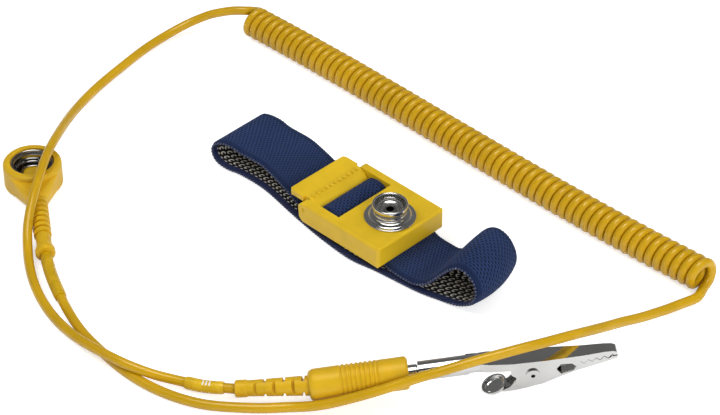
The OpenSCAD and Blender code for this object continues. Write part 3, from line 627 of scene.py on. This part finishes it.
@dataclass(frozen=True)
class Picot:
    """The band's very edge: small pale thread loops between navy ones."""

    name: str
    thread: tuple[float, float, float]
    ground: tuple[float, float, float]
    pitch: float = 0.001

    def make(self) -> bpy.types.Material:
        """Builds the material."""
        tree = Tree(self.name)
        tree.set("Roughness", 0.8)
        tree.set("Sheen Weight", 0.15)
        along, _ = tree.surface()
        wave = tree.maths("SINE", tree.times(along, 2 * pi / self.pitch))
        rough = tree.noise(900.0, 2.0)
        loops = tree.maths("MULTIPLY_ADD", wave, 0.27, 0.27)
        tone = tree.plus(loops, tree.times(rough, 0.5))
        stops = ((0.58, self.ground), (0.8, shade(self.thread, 0.3)), (0.96, self.thread))
        tree.set("Base Color", tree.ramp(tone, stops))
        tree.bump(tone, 0.0001, 0.8)
        return tree.material


@dataclass(frozen=True)
class Sleeve:
    """A shrunk sleeve over the cord, with faint draw marks and, on one, plain printed bars."""

    name: str
    colour: tuple[float, float, float]
    bars: int = 0
    first: float = 0.0048
    pitch: float = 0.0009
    line: float = 0.45
    repeat: float = 0.0036
    half_bar: float = 0.22

    def printed(self, tree: Tree) -> bpy.types.NodeSocket:
        """Returns 1 on the short printed bars and 0 beside them."""
        run, girth = tree.surface()
        along = tree.over(tree.minus(run, self.first), self.pitch)
        begun = tree.maths("GREATER_THAN", along, 0.0)
        inside = tree.times(begun, tree.maths("LESS_THAN", along, float(self.bars)))
        stripe = tree.maths("LESS_THAN", tree.maths("FRACT", along), self.line)
        place = tree.maths("FRACT", tree.over(girth, self.repeat))
        off = tree.maths("ABSOLUTE", tree.minus(place, 0.5))
        reach = tree.maths("LESS_THAN", off, self.half_bar)
        return tree.times(tree.times(inside, stripe), reach)

    def make(self) -> bpy.types.Material:
        """Builds the material."""
        tree = Tree(self.name)
        tree.glow_under(0.1, (0.0012, 0.0006, 0.00015))
        cloud = tree.noise(260.0, 3.0)
        pale, dim = shade(self.colour, 1.1), shade(self.colour, 0.85)
        body = tree.ramp(cloud, ((0.3, dim), (0.7, pale)))
        ink = tree.ramp(cloud, ((0.3, (0.8, 0.79, 0.74)), (0.7, (0.9, 0.89, 0.85))))
        tree.set("Base Color", tree.mixed(self.printed(tree), body, ink) if self.bars else body)
        tree.set("Roughness", tree.maths("MULTIPLY_ADD", cloud, 0.2, 0.16))
        tree.bump(cloud, 0.00003, 0.5)
        return tree.material


@dataclass(frozen=True)
class Finishes:
    """Every finish of the strap, under the name of what it covers."""

    frame: Moulding = Moulding("yellow_frame", (0.76, 0.495, 0.014), 0.36)
    soft: Moulding = Moulding("yellow_soft", (0.70, 0.425, 0.009), 0.4, 0.00004, 0.1)
    cord: CordSkin = CordSkin("yellow_cord", (0.65, 0.38, 0.005))
    nickel: Plating = Plating("bright_nickel", (0.80, 0.79, 0.76), 0.13, 0.05)
    # A darker nickel, painted shade standing in for the eyelet's deep hole and the shaded socket
    # metal.
    wear_and_painted_shade: Plating = Plating("painted_shade_nickel", (0.52, 0.51, 0.49), 0.1, 0.05)
    clip: Plating = Plating("plated_steel", (0.80, 0.80, 0.79), 0.11, 0.08)
    plate: Plating = Plating("brushed_plate", (0.62, 0.62, 0.63), 0.3, 0.15)
    wire: Plating = Plating("spring_wire", (0.45, 0.45, 0.47), 0.25, 0.12)
    knit: Knit = Knit("navy_knit", (0.0135, 0.0265, 0.082))
    lining: Lining = Lining(
        "silver_lining", (0.010, 0.010, 0.012), (0.80, 0.77, 0.68), (0.013, 0.02, 0.07)
    )
    picot: Picot = Picot("picot_edge", (0.34, 0.38, 0.55), (0.011, 0.02, 0.068))
    amber: Sleeve = Sleeve("amber_sleeve", (0.62, 0.38, 0.006))
    clear: Sleeve = Sleeve("clear_sleeve", (0.74, 0.47, 0.012), 3)
    resistor: Moulding = Moulding("resistor_body", (0.22, 0.42, 0.50), 0.4, 0.00002, 0.0)


class Wardrobe:
    """The materials, each made once from its finish."""

    def __init__(self) -> None:
        """Starts with no materials made."""
        self.finishes = Finishes()
        self.made: dict[str, bpy.types.Material] = {}

    def get(self, name: str) -> bpy.types.Material:
        """Returns the material of a finish by its field name."""
        if name not in self.made:
            self.made[name] = getattr(self.finishes, name).make()
        return self.made[name]


# ---- Studio ----


@dataclass
class Studio:
    """Camera, floor and lights."""

    azimuth: float = 44.7
    elevation: float = 38.0
    distance: float = 0.734
    target: tuple[float, float, float] = (-0.00483, 0.00523, 0.0)
    lens: float = 130.0
    floor_size: float = 4.0
    ambient: float = 0.25
    floor_drop: float = 0.00002
    floor_seen: float = 0.58
    floor_mirrored: float = 0.14
    glare: float = 5.0
    blend_width: float = 0.25
    near_sky: tuple = (
        (0.0, 0.15), (0.2, 0.09), (0.45, 0.03), (0.7, 0.012), (0.92, 0.015), (0.97, 1.0)
    )
    far_sky: tuple = (
        (0.0, 0.06), (0.25, 0.04), (0.45, 0.028), (0.62, 0.028), (0.92, 0.02), (0.97, 1.0)
    )

    def build(self) -> None:
        """Sets the camera, the world, the floor and the lamps."""
        self.camera()
        self.world()
        self.floor()
        self.lamps()
        bpy.context.scene.view_settings.view_transform = "Standard"

    def camera(self) -> None:
        """Stands the camera on its line of sight."""
        a, e = radians(self.azimuth), radians(self.elevation)
        away = Vector((sin(a) * cos(e), -cos(a) * cos(e), sin(e)))
        data = bpy.data.cameras.new("camera")
        data.lens = self.lens
        data.sensor_width = 36.0
        data.clip_start = 0.01
        obj = bpy.data.objects.new("camera", data)
        obj.location = Vector(self.target) + self.distance * away
        obj.rotation_euler = (-away).to_track_quat("-Z", "Y").to_euler()
        bpy.context.scene.collection.objects.link(obj)
        bpy.context.scene.camera = obj

    def world(self) -> None:
        """Makes a white surround for the view, an even soft light and a graded one to mirror."""
        world = bpy.data.worlds.new("studio")
        bpy.context.scene.world = world
        world.use_nodes = True
        graph = Graph(world.node_tree)
        path = graph.node("LightPath").outputs
        way = graph.node("TexCoord").outputs["Generated"]
        height = graph.node("SeparateXYZ", {0: way}).outputs[2]

        def backdrop(level: float, colour: object = (1, 1, 1, 1)) -> bpy.types.NodeSocket:
            return graph.node("Background", {0: colour, 1: level}).outputs[0]

        def by_height(levels: tuple) -> bpy.types.NodeSocket:
            return graph.ramp(height, [(place, (level, level, level)) for place, level in levels])

        turn = radians(self.azimuth)
        to_camera = {0: way, 1: (sin(turn), -cos(turn), 0)}
        side = graph.node("VectorMath", to_camera, operation="DOT_PRODUCT").outputs["Value"]
        reach = {"Value": side, "From Min": -self.blend_width, "From Max": self.blend_width}
        share = graph.node("MapRange", reach).outputs[0]
        sky = graph.mixed(share, by_height(self.far_sky), by_height(self.near_sky))
        lit = {0: path["Is Glossy Ray"], 1: backdrop(self.ambient), 2: backdrop(self.glare, sky)}
        unseen = graph.node("MixShader", lit).outputs[0]
        seen = {0: path["Is Camera Ray"], 1: unseen, 2: backdrop(1.0)}
        graph.node("OutputWorld", {0: graph.node("MixShader", seen).outputs[0]})

    def floor(self) -> None:
        """Lays a white floor that keeps the soft shadows."""
        half = self.floor_size / 2
        corners = [(-half, -half, 0), (half, -half, 0), (half, half, 0), (-half, half, 0)]
        mesh = bpy.data.meshes.new("floor")
        mesh.from_pydata(corners, [], [(0, 1, 2, 3)])
        obj = link_mesh("floor", mesh)
        obj.location.z = -self.floor_drop
        tree = Tree("floor_white")
        tree.set("Base Color", (0.86, 0.86, 0.86, 1))
        tree.set("Roughness", 0.9)
        tree.set("Specular IOR Level", 0.1)
        path = tree.node("LightPath").outputs
        mirrored = tree.times(path["Is Glossy Ray"], self.floor_mirrored)
        glow = tree.maths("MULTIPLY_ADD", path["Is Camera Ray"], self.floor_seen, mirrored)
        tree.set("Emission Color", (1, 1, 1, 1))
        tree.set("Emission Strength", glow)
        obj.data.materials.append(tree.material)

    def lamps(self) -> None:
        """Hangs the key light, the fill and the back light."""
        self.lamp("key", (-0.45, -0.35, 0.75), 0.5, 3.7)
        self.lamp("fill", (0.72, -0.2, 0.38), 0.5, 4.2)
        self.lamp("back", (0.1, 0.8, 0.6), 0.7, 2.6)

    def lamp(self, name: str, place: tuple[float, float, float], size: float, power: float) -> None:
        """Hangs one square soft light, turned to the object and not mirrored in it.

        Args:
            name: The lamp's name.
            place: Its place in metres.
            size: Its side in metres.
            power: Its power in watts.
        """
        data = bpy.data.lights.new(name, "AREA")
        data.shape = "SQUARE"
        data.size = size
        data.energy = power
        obj = bpy.data.objects.new(name, data)
        obj.location = place
        obj.rotation_euler = (-Vector(place)).to_track_quat("-Z", "Y").to_euler()
        obj.visible_glossy = False
        bpy.context.scene.collection.objects.link(obj)


# ---- Lead ----


@dataclass
class Lead:
    """The coiled lead: one cord from the snap socket through the coil to the plug."""

    wardrobe: Wardrobe
    diameter: float = 2.7
    coil_radius: float = 3.6
    coil_half: float = 88.6
    coil_turns: float = 63.5
    socket_turn: float = -34.3
    tail: float = 14.0
    boot_height: float = 3.6
    boot_drop: float = 2.1
    boot_length: float = 22.52
    sleeve_radius: float = 1.72
    sleeve_taper: float = 0.12
    steps: int = 5
    evening: int = 12
    easing: int = 30
    eased_before: int = 5
    eased_after: int = 14
    stub_way: tuple[float, float] = (0.35, -0.94)
    plug_boot_end: tuple[float, float, float] = (29.8, -73.9, 2.9)
    coil_line: tuple = (
        (-88.6, 43.9), (-67.7, 44.4), (-46.4, 44.5), (-25.4, 44.2), (-4.9, 43.8), (15.0, 43.5),
        (34.2, 43.3), (52.6, 43.4), (70.1, 43.9), (88.6, 44.9),
    )
    socket_side: tuple = (
        (-41.5, -76.3, 2.0), (-36.6, -78.6, 1.8), (-31.6, -80.9, 1.8), (-25.0, -83.5, 1.5),
        (-16.6, -86.1, 1.35), (-10.2, -87.0, 1.35), (-3.7, -87.9, 1.35), (3.2, -88.4, 1.35),
        (10.1, -88.0, 1.35), (16.7, -86.8, 1.35), (22.6, -84.8, 1.35), (27.7, -82.3, 1.35),
        (31.9, -79.1, 1.35), (35.9, -75.7, 1.35), (39.7, -72.2, 1.35), (43.2, -68.2, 1.5),
        (46.8, -65.5, 2.1), (50.9, -62.5, 3.5), (54.4, -58.6, 4.9), (58.1, -54.7, 6.6),
        (61.5, -50.5, 8.3), (64.2, -46.8, 9.6), (66.9, -43.6, 11.1), (69.8, -40.2, 12.4),
        (72.5, -36.3, 13.5), (74.8, -32.5, 14.3), (77.0, -29.2, 15.0), (79.0, -25.6, 15.4),
        (80.8, -21.9, 15.6), (82.5, -18.2, 15.6), (84.1, -13.6, 15.2), (85.0, -9.2, 14.3),
        (85.7, -4.0, 12.9), (86.1, 1.7, 10.9), (86.2, 7.8, 8.6), (86.2, 14.1, 6.3),
        (86.9, 19.6, 4.4), (87.3, 25.5, 2.8), (88.2, 30.8, 1.8), (89.1, 36.1, 1.35),
    )
    plug_side: tuple = (
        (-91.6, 41.2, 8.5), (-95.4, 39.3, 7.6), (-100.9, 34.8, 4.5), (-103.3, 30.4, 2.9),
        (-104.6, 25.6, 1.8), (-104.7, 18.4, 1.35), (-103.8, 11.4, 1.35), (-102.1, 3.4, 1.35),
        (-100.4, -4.6, 1.35), (-98.5, -11.5, 1.5), (-95.3, -19.1, 2.3), (-91.2, -26.5, 3.8),
        (-84.7, -35.3, 6.9), (-78.1, -44.1, 9.5), (-73.8, -50.3, 9.9), (-68.4, -57.0, 9.6),
        (-64.6, -62.3, 8.3), (-59.4, -68.9, 5.6), (-55.8, -72.3, 3.2), (-50.9, -76.2, 1.8),
        (-45.8, -79.6, 1.35), (-38.2, -83.7, 1.35), (-30.0, -86.6, 1.35), (-23.0, -88.2, 1.6),
        (-16.5, -89.2, 2.4), (-10.2, -89.7, 3.4), (-4.9, -89.6, 4.1), (-0.1, -89.2, 4.4),
        (3.8, -88.3, 4.2), (7.3, -86.7, 3.5), (10.5, -84.9, 2.7), (13.5, -83.0, 2.2),
        (18.6, -80.4, 2.1), (21.7, -79.1, 2.2), (24.6, -77.5, 2.4), (27.3, -75.5, 2.7),
    )

    def axis(self, share: float) -> Vector:
        """Returns the coil's axis at a share of its length from its left end."""
        x = min(self.coil_half * (2 * share - 1), self.coil_half)
        z = self.coil_radius + self.diameter / 2
        pairs = zip(self.coil_line, self.coil_line[1:])
        (x0, y0), (x1, y1) = next(pair for pair in pairs if x <= pair[1][0])
        return Vector((x, y0 + (y1 - y0) * (x - x0) / (x1 - x0), z))

    def coil(self, steps: int = 24) -> list[Vector]:
        """Returns the coil's centreline from its left end.

        Args:
            steps: How many points each turn has.

        Returns:
            The points in millimetres.
        """
        total = int(self.coil_turns * steps)
        points = []
        for k in range(total + 1):
            turn = 2 * pi * k / steps
            out = self.coil_radius * Vector((0, sin(turn), cos(turn)))
            points.append(self.axis(k / total) + out)
        return points

    def boot_exit(self) -> Vector:
        """Returns the point where the cord leaves the socket's boot."""
        turn, drop = radians(self.socket_turn), radians(self.boot_drop)
        way = Vector((cos(turn) * cos(drop), sin(turn) * cos(drop), -sin(drop)))
        start = Vector((*SOCKET_AT, self.boot_height))
        start += self.tail * Vector((cos(turn), sin(turn), 0))
        return start + self.boot_length * way

    def sides(self, coil: Sequence[Vector]) -> tuple[list[Vector], list[Vector]]:
        """Returns the cord's runs beside the coil, socket's and plug's, in millimetres.

        Args:
            coil: The coil's centreline from its left end.

        Returns:
            The run from the socket's boot to the coil, and the one from there to the plug's boot.
        """
        lean, down = self.stub_way
        stub_in = self.diameter * Vector((-lean, down, 0)).normalized()
        stub_out = self.diameter * Vector((lean, down, 0)).normalized()
        stubs = [coil[-1] + 2 * stub_out, coil[-1] + stub_out]
        near = [self.boot_exit(), *map(Vector, self.socket_side), *stubs]
        far = [coil[0] + stub_in, *map(Vector, self.plug_side), Vector(self.plug_boot_end)]
        curves = (spline([list(p) for p in run], self.steps) for run in (near, far))
        return tuple(relax([Vector(p) for p in curve], self.evening) for curve in curves)

    def eased(self, line: list[Vector], joint: int) -> list[Vector]:
        """Rounds the bend where the coil runs out into the plug's side.

        Args:
            line: The whole centreline.
            joint: The index where the coil ends.

        Returns:
            The centreline with that bend rounded.
        """
        first, last = joint - self.eased_before, joint + self.eased_after
        return [*line[:first], *relax(line[first:last], self.easing), *line[last:]]

    def sleeve(self, node: str, run: Sequence[Vector], finish: str) -> bpy.types.Object:
        """Makes one of the shrunk sleeves on the cord.

        Args:
            node: The solid that it stands for.
            run: The stretch of the cord that it covers, in millimetres.
            finish: The finish's field name.

        Returns:
            The new object.
        """
        last = len(run) - 1

        def radius(i: int) -> float:
            return (self.sleeve_radius - (self.sleeve_taper if i in (0, last) else 0.0)) * MM

        obj = tube(f"{node}_shrunk", [at_home(p) for p in run], radius, 28)
        dress(obj, self.wardrobe.get(finish), "lead")
        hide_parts(node)
        return obj

    def build(self) -> None:
        """Makes the cord and dresses the pieces on it."""
        coil = self.coil()
        near, far = self.sides(coil)
        whole = self.eased([*near, *reversed(coil), *far], len(near) + len(coil))
        path = [at_home(p) for p in whole]
        radius = self.diameter / 2 * MM
        cord = tube("lead_cord", path, lambda i: radius, 12)
        dress(cord, self.wardrobe.get("cord"), "lead")
        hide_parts("cord_socket_side", "cord_curly", "cord_plug_side")
        socket_run = near[1 : 3 * self.steps + 1]
        plug_run = far[-4 * self.steps - 1 : -self.steps]
        sleeves = [
            self.sleeve("socket_sleeve", socket_run, "amber"),
            self.sleeve("value_sleeve", plug_run, "clear"),
        ]


# ---- Wristband ----


class Face(Enum):
    """The band's faces, by material slot."""

    OUTER = 0
    INNER = 1


@dataclass(frozen=True)
class Section:
    """One cross-section of the band, in millimetres."""

    centre: Vector
    across: Vector
    out: Vector
    crown: float
    half: float

    def point(self, x: float, y: float) -> Vector:
        """Returns the place at x across the band and y out of it."""
        raised = y + self.crown * (1 - (x / self.half) ** 2)
        return at_home(self.centre + x * self.across + raised * self.out)


@dataclass
class Band:
    """The elastic band: one strip, doubled under the buckle and round both ends."""

    wardrobe: Wardrobe
    width: float = 20.0
    thickness: float = 1.3
    hem: float = 0.35
    hinge: tuple[float, float] = (-7.4, 7.1)
    fold_radius: float = 3.55
    floor: float = 0.65
    values: int = 6
    steps: int = 6
    columns: int = 28
    margin: float = 0.9
    stitch_inset: float = 0.05
    stitch_radius: float = 0.24
    stitch_swell: float = 0.09
    front: tuple = (
        (8.0, 0.0, 3.58), (12.0, 0.0, 3.58), (15.6, 0.0, 3.58), (17.5, 0.0, 3.44), (19.0, 0.0, 2.7),
        (20.8, 0.0, 2.1), (24.0, -0.7, 2.05), (28.5, -0.8, 2.1, 0.0, -0.02),
        (32.2, -0.7, 2.4, 0.0, -0.05), (35.4, 0.0, 4.1, 0.01, -0.1, 0.1),
        (37.9, 1.2, 7.6, 0.02, -0.15, 0.3), (40.4, 2.3, 11.0, 0.02, -0.2, 0.6),
        (43.4, 3.0, 12.9, 0.02, -0.21, 0.8), (46.7, 3.3, 12.3, 0.02, -0.2, 1.2),
        (49.2, 3.3, 9.9, 0.01, -0.19, 1.6), (50.1, 3.0, 6.9, 0.0, -0.17, 1.7),
        (49.0, 2.6, 3.9, 0.0, -0.14, 1.4), (46.0, 2.0, 1.6, 0.0, -0.1, 0.5),
        (41.5, 1.2, 0.65, 0.0, -0.04), (34.0, -0.7, 0.65), (20.6, -2.2, 0.65), (11.5, -3.6, 0.65),
        (1.0, -3.0, 0.65), (-8.8, -1.7, 0.65), (-17.0, -0.3, 0.65), (-28.0, 1.6, 0.65),
        (-37.2, 1.6, 0.65), (-42.4, 0.6, 0.7), (-46.4, 0.2, 1.6, 0.01), (-48.5, 0.4, 3.8, 0.03),
        (-48.3, 0.6, 6.1, 0.02), (-45.9, 1.0, 7.6, -0.02), (-42.0, 1.6, 7.8, -0.05),
        (-38.0, 1.9, 7.1, -0.07), (-31.0, 2.8, 6.4, -0.08), (-25.0, 2.2, 5.8, -0.07),
        (-19.0, 1.1, 5.2, -0.05), (-13.4, 0.3, 4.3, -0.01), (-10.0, 0.0, 3.7),
    )
    back: tuple = (
        (-3.75, 0.0, 6.9), (-3.1, 0.0, 7.6), (-2.1, 0.0, 7.9), (-0.8, 0.0, 8.1), (0.6, 0.0, 7.85),
        (1.7, 0.0, 7.35), (2.3, 0.0, 6.5), (2.5, 0.0, 5.6), (2.7, 0.0, 4.6), (3.7, 0.0, 3.95),
        (5.2, 0.0, 3.8), (6.6, 0.0, 3.8),
    )

    def line(self) -> list[list[float]]:
        """Returns the strip's middle line with its rise, shift and crown, in millimetres."""
        x, z = self.hinge
        turns = [radians(a) for a in range(270, 346, 5)]
        arc = [(x + self.fold_radius * cos(a), 0.0, z + self.fold_radius * sin(a)) for a in turns]
        front, arc, back = (filled(rows, self.values) for rows in (self.front, arc, self.back))
        points = [*spline(front, self.steps), *arc, *spline(back, self.steps)]
        return [[p[0], p[1], max(p[2], self.floor), *p[3:]] for p in points]

    def sections(self) -> list[Section]:
        """Returns the strip's cross-sections from end to end."""
        line = self.line()
        out = []
        for i, (x, y, z, rise, shift, crown) in enumerate(line):
            before, after = line[max(i - 1, 0)], line[min(i + 1, len(line) - 1)]
            way = Vector((after[0] - before[0], 0, after[2] - before[2])).normalized()
            across = Vector((shift, 1, rise)).normalized()
            away = way.cross(across).normalized()
            out.append(Section(Vector((x, y, z)), across, away, crown, self.width / 2))
        return out

    def strip(self) -> bpy.types.Object:
        """Makes the strip with its two faces and rounded edges."""
        sections = self.sections()
        half, t = self.width / 2, self.thickness / 2
        edge = [(-half, 0.25 * t), (-half, -0.25 * t), (-half + 0.12, -0.65 * t)]
        edge.append((-half + self.hem, -0.92 * t))
        flat = self.width - 2 * self.margin
        shares = [k / self.columns for k in range(self.columns + 1)]
        low = [(-half + self.margin + flat * share, -t) for share in shares]
        loop = edge + low
        loop += [(-x, -y) for x, y in edge] + [(-x, -y) for x, y in low]
        bm = bmesh.new()
        uv = bm.loops.layers.uv.new("UVMap")
        along = distances([section.centre for section in sections])
        rings = [[bm.verts.new(section.point(x, y)) for x, y in loop] for section in sections]
        count = len(loop)
        for i in range(len(rings) - 1):
            for k in range(count):
                n = (k + 1) % count
                face = bm.faces.new((rings[i][k], rings[i + 1][k], rings[i + 1][n], rings[i][n]))
                outer = loop[k][1] + loop[n][1] > 0
                face.material_index = Face.OUTER.value if outer else Face.INNER.value
                face.smooth = True
                spots = ((i, k), (i + 1, k), (i + 1, n), (i, n))
                for corner, (row, spot) in zip(face.loops, spots):
                    corner[uv].uv = (along[row] * MM, (loop[spot][0] + half) * MM)
        bm.faces.new(rings[0])
        bm.faces.new(list(reversed(rings[-1])))
        bmesh.ops.recalc_face_normals(bm, faces=bm.faces)
        obj = link_bmesh("band_strip", bm)
        obj.data.materials.append(self.wardrobe.get("knit"))
        obj.data.materials.append(self.wardrobe.get("lining"))
        return obj

    def picot(self, side: int) -> bpy.types.Object:
        """Makes the row of edge stitches on one side of the strip.

        Args:
            side: 1 for the far edge and -1 for the near one.

        Returns:
            The new object.
        """
        sections = self.sections()
        out = side * (self.width / 2 - self.stitch_inset)
        edge = [list(section.point(out, 0.0)) for section in sections]
        path = [Vector(p) for p in spline(edge, self.steps)][2 * self.steps : -2 * self.steps]
        reach = distances(path)
        pitch = self.wardrobe.finishes.picot.pitch

        def radius(i: int) -> float:
            return (self.stitch_radius + self.stitch_swell * sin(2 * pi * reach[i] / pitch)) * MM

        obj = tube("picot_near" if side < 0 else "picot_far", path, radius, 8)
        obj.data.materials.append(self.wardrobe.get("picot"))
        return obj

    def build(self) -> None:
        """Makes the strip and its edges."""
        strip = self.strip()
        edges = [self.picot(-1), self.picot(1)]
        for piece in (strip, *edges):
            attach(piece, "wristband")
        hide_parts("elastic_band")
        length = distances([section.centre * MM for section in self.sections()])[-1]
        log.info("band strip: %.0f mm long", length / MM)


# ---- Hard pieces ----


@dataclass(frozen=True)
class Turned:
    """A turned or pressed round piece that stands for a CAD node."""

    node: str
    body: str
    slot: str
    finish: str
    place: Matrix
    profile: tuple
    sides: int = 96

    def build(self, wardrobe: Wardrobe) -> None:
        """Makes the piece and gives it its material."""
        obj = lathe(f"{self.node}_turned", self.profile, self.place, self.sides)
        dress(obj, wardrobe.get(self.finish), self.body)
        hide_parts(self.node)


def roll(x: float, z: float, r: float, first: float, last: float) -> tuple:
    """Returns the points of a rolled edge.

    Args:
        x: The roll's centre from the axis.
        z: The roll's height.
        r: Its radius.
        first: The angle of its first point in degrees, from straight out.
        last: The angle of its last point.

    Returns:
        Nine points of (radius, height).
    """
    turns = [radians(first + (last - first) * k / 8) for k in range(9)]
    return tuple((x + r * cos(turn), z + r * sin(turn)) for turn in turns)


@dataclass(frozen=True)
class Softened:
    """A moulded or pressed piece: its own solid again, with its edges eased."""

    node: str
    body: str
    slot: str
    finish: str
    width: float
    segments: int = 2
    sharp: float = 35.0
    flat: float = 0.8
    weld: float = 0.002

    def build(self, wardrobe: Wardrobe) -> None:
        """Makes the eased copy and gives it its material."""
        source = frame["nodes"][self.node]
        bm = bmesh.new()
        bm.from_mesh(source.data)
        bmesh.ops.remove_doubles(bm, verts=bm.verts, dist=self.weld * MM)
        bmesh.ops.dissolve_limit(bm, angle_limit=radians(self.flat), verts=bm.verts, edges=bm.edges)
        paired = [edge for edge in bm.edges if len(edge.link_faces) == 2]
        edges = [edge for edge in paired if edge.calc_face_angle(0.0) > radians(self.sharp)]
        bmesh.ops.bevel(
            bm,
            geom=edges,
            offset=self.width * MM,
            segments=self.segments,
            profile=0.5,
            affect="EDGES",
            clamp_overlap=True,
            harden_normals=False,
        )
        obj = link_bmesh(f"{self.node}_eased", bm, source.matrix_world)
        smooth_by_angle(obj, 50)
        weighted = obj.modifiers.new("weighted", "WEIGHTED_NORMAL")
        weighted.keep_sharp = True
        dress(obj, wardrobe.get(self.finish), self.body)
        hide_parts(self.node)
        log.info("%s: %d edges eased", self.node, len(edges))


@dataclass
class HardPieces:
    """The turned and softened pieces."""

    wardrobe: Wardrobe
    stud_at: tuple[float, float, float] = (13.5, 0.0, 9.1)
    socket_at: tuple[float, float, float] = (*SOCKET_AT, 0.0)
    ridge_at: tuple[float, float, float] = (-7.95, 0.0, 9.3)
    beads: int = 11
    bead_run: float = 17.0
    bead_radius: float = 0.5

    def stud(self) -> Turned:
        """Returns the snap stud: cup floor with its ring, rolled head, neck, bead and flange."""
        profile = (
            (1.5, 1.72), (1.5, 2.2), (2.5, 2.37),
            *roll(2.78, 2.42, 0.2, 160, 10),
            (3.15, 2.36), (3.45, 2.42), (3.75, 2.6), (3.95, 2.9), (4.1, 3.3), (4.2, 3.7),
            (4.27, 4.1),
            *roll(4.65, 4.32, 0.36, 190, 0),
            (5.0, 3.6), (4.95, 3.3), (4.75, 3.05), (4.5, 2.85), (4.37, 2.5), (4.35, 2.1),
            (4.4, 1.8), (4.55, 1.55), (4.8, 1.4), (5.2, 1.36), (5.55, 1.26), (5.8, 1.0),
            (5.95, 0.75), (6.2, 0.6), (6.6, 0.54), (7.0, 0.5),
            *roll(7.05, 0.26, 0.24, 90, -90),
            (3.85, 0.02), (3.85, 1.3), (3.4, 1.7), (1.5, 1.72),
        )
        return Turned(
            "snap_stud", "wristband", "polished_nickel", "nickel",
            Matrix.Translation(at_home(Vector(self.stud_at))), profile,
        )

    def socket(self) -> Turned:
        """Returns the snap socket: rolled lip, guide collar, spring ledge and beaded floor ring."""
        profile = (
            *roll(3.35, 3.75, 0.28, 250, 20),
            (3.8, 3.72), (4.7, 3.7), (5.1, 3.85), (5.2, 4.35), (5.8, 4.42), (5.85, 6.6),
            (5.45, 6.3), (5.42, 5.05), (5.1, 5.05), (5.05, 5.2), (5.05, 6.3), (5.12, 6.6),
            (5.3, 6.85), (5.5, 6.98), (5.56, 7.15),
            *roll(5.9, 7.3, 0.34, 180, 0),
            (6.25, 1.42), (3.4, 1.42),
        )
        return Turned(
            # The socket takes the darker nickel as painted shade.
            "snap_socket", "lead", "polished_nickel", "wear_and_painted_shade",
            Matrix.Translation(at_home(Vector(self.socket_at))), profile,
        )

    def lever_beads(self) -> None:
        """Rounds the row of small beads along the lever's ridge."""
        bm = bmesh.new()
        gap = self.bead_run / (self.beads - 1)
        for k in range(self.beads):
            spot = Vector(self.ridge_at) + Vector((0.0, k * gap - self.bead_run / 2, 0.0))
            bmesh.ops.create_uvsphere(
                bm,
                u_segments=20,
                v_segments=12,
                radius=self.bead_radius * MM,
                matrix=Matrix.Translation(at_home(spot)),
            )
        for face in bm.faces:
            face.smooth = True
        obj = link_bmesh("lever_beads", bm)
        dress(obj, self.wardrobe.get("frame"), "clamp_lever")

    def socket_floor(self) -> None:
        """Sets the moulded boss that shows through the socket's floor ring."""
        place = Matrix.Translation(at_home(Vector(self.socket_at)))
        dome = (
            (0.0, 4.35), (1.2, 4.33), (2.2, 4.25), (2.6, 4.1), (2.75, 3.8), (2.8, 1.6), (0.0, 1.6)
        )
        web = lathe("socket_web", dome, place, 48)
        dress(web, self.wardrobe.get("soft"), "lead")

    def build(self) -> None:
        """Makes every piece."""
        self.stud().build(self.wardrobe)
        self.socket().build(self.wardrobe)
        self.socket_floor()
        self.lever_beads()
        for piece in (
            Softened("buckle_frame", "wristband", "yellow_moulding", "frame", 0.3),
            Softened("clamp_lever", "clamp_lever", "yellow_moulding", "frame", 0.2),
            Softened("socket_housing", "lead", "yellow_soft_moulding", "soft", 0.3),
            Softened("clip_upper_jaw", "clip_upper", "nickel_steel", "clip", 0.12),
            Softened("clip_lower_jaw", "clip_lower", "nickel_steel", "clip", 0.12),
        ):
            piece.build(self.wardrobe)


@dataclass
class Dressing:
    """The finishes of the rigid pieces that keep their own solids."""

    wardrobe: Wardrobe
    covers: dict[str, str] = field(
        default_factory=lambda: {
            # The eyelet takes the darker nickel as painted shade for its deep hole.
            "stud_eyelet": "wear_and_painted_shade",
            "contact_plate": "plate",
            "socket_spring": "wire",
            "socket_terminal": "plate",
            "socket_boot": "soft",
            "plug_boot": "soft",
            "plug_housing": "soft",
            "series_resistor": "resistor",
            "banana_pin": "nickel",
            "pin_spring": "nickel",
            "clip_rivet": "clip",
            "clip_spring": "wire",
        }
    )

    def build(self) -> None:
        """Gives each solid its material."""
        for node, finish in self.covers.items():
            obj = frame["nodes"][node]
            obj.data.materials.clear()
            obj.data.materials.append(self.wardrobe.get(finish))
            log.info("%s: %s", node, finish)


def main() -> None:
    """Builds the scene in order."""
    logging.basicConfig(level=logging.INFO, format="%(name)s %(message)s")
    wardrobe = Wardrobe()
    Studio().build()
    Lead(wardrobe).build()
    Band(wardrobe).build()
    HardPieces(wardrobe).build()
    Dressing(wardrobe).build()


if __name__ == "__main__":
    main()
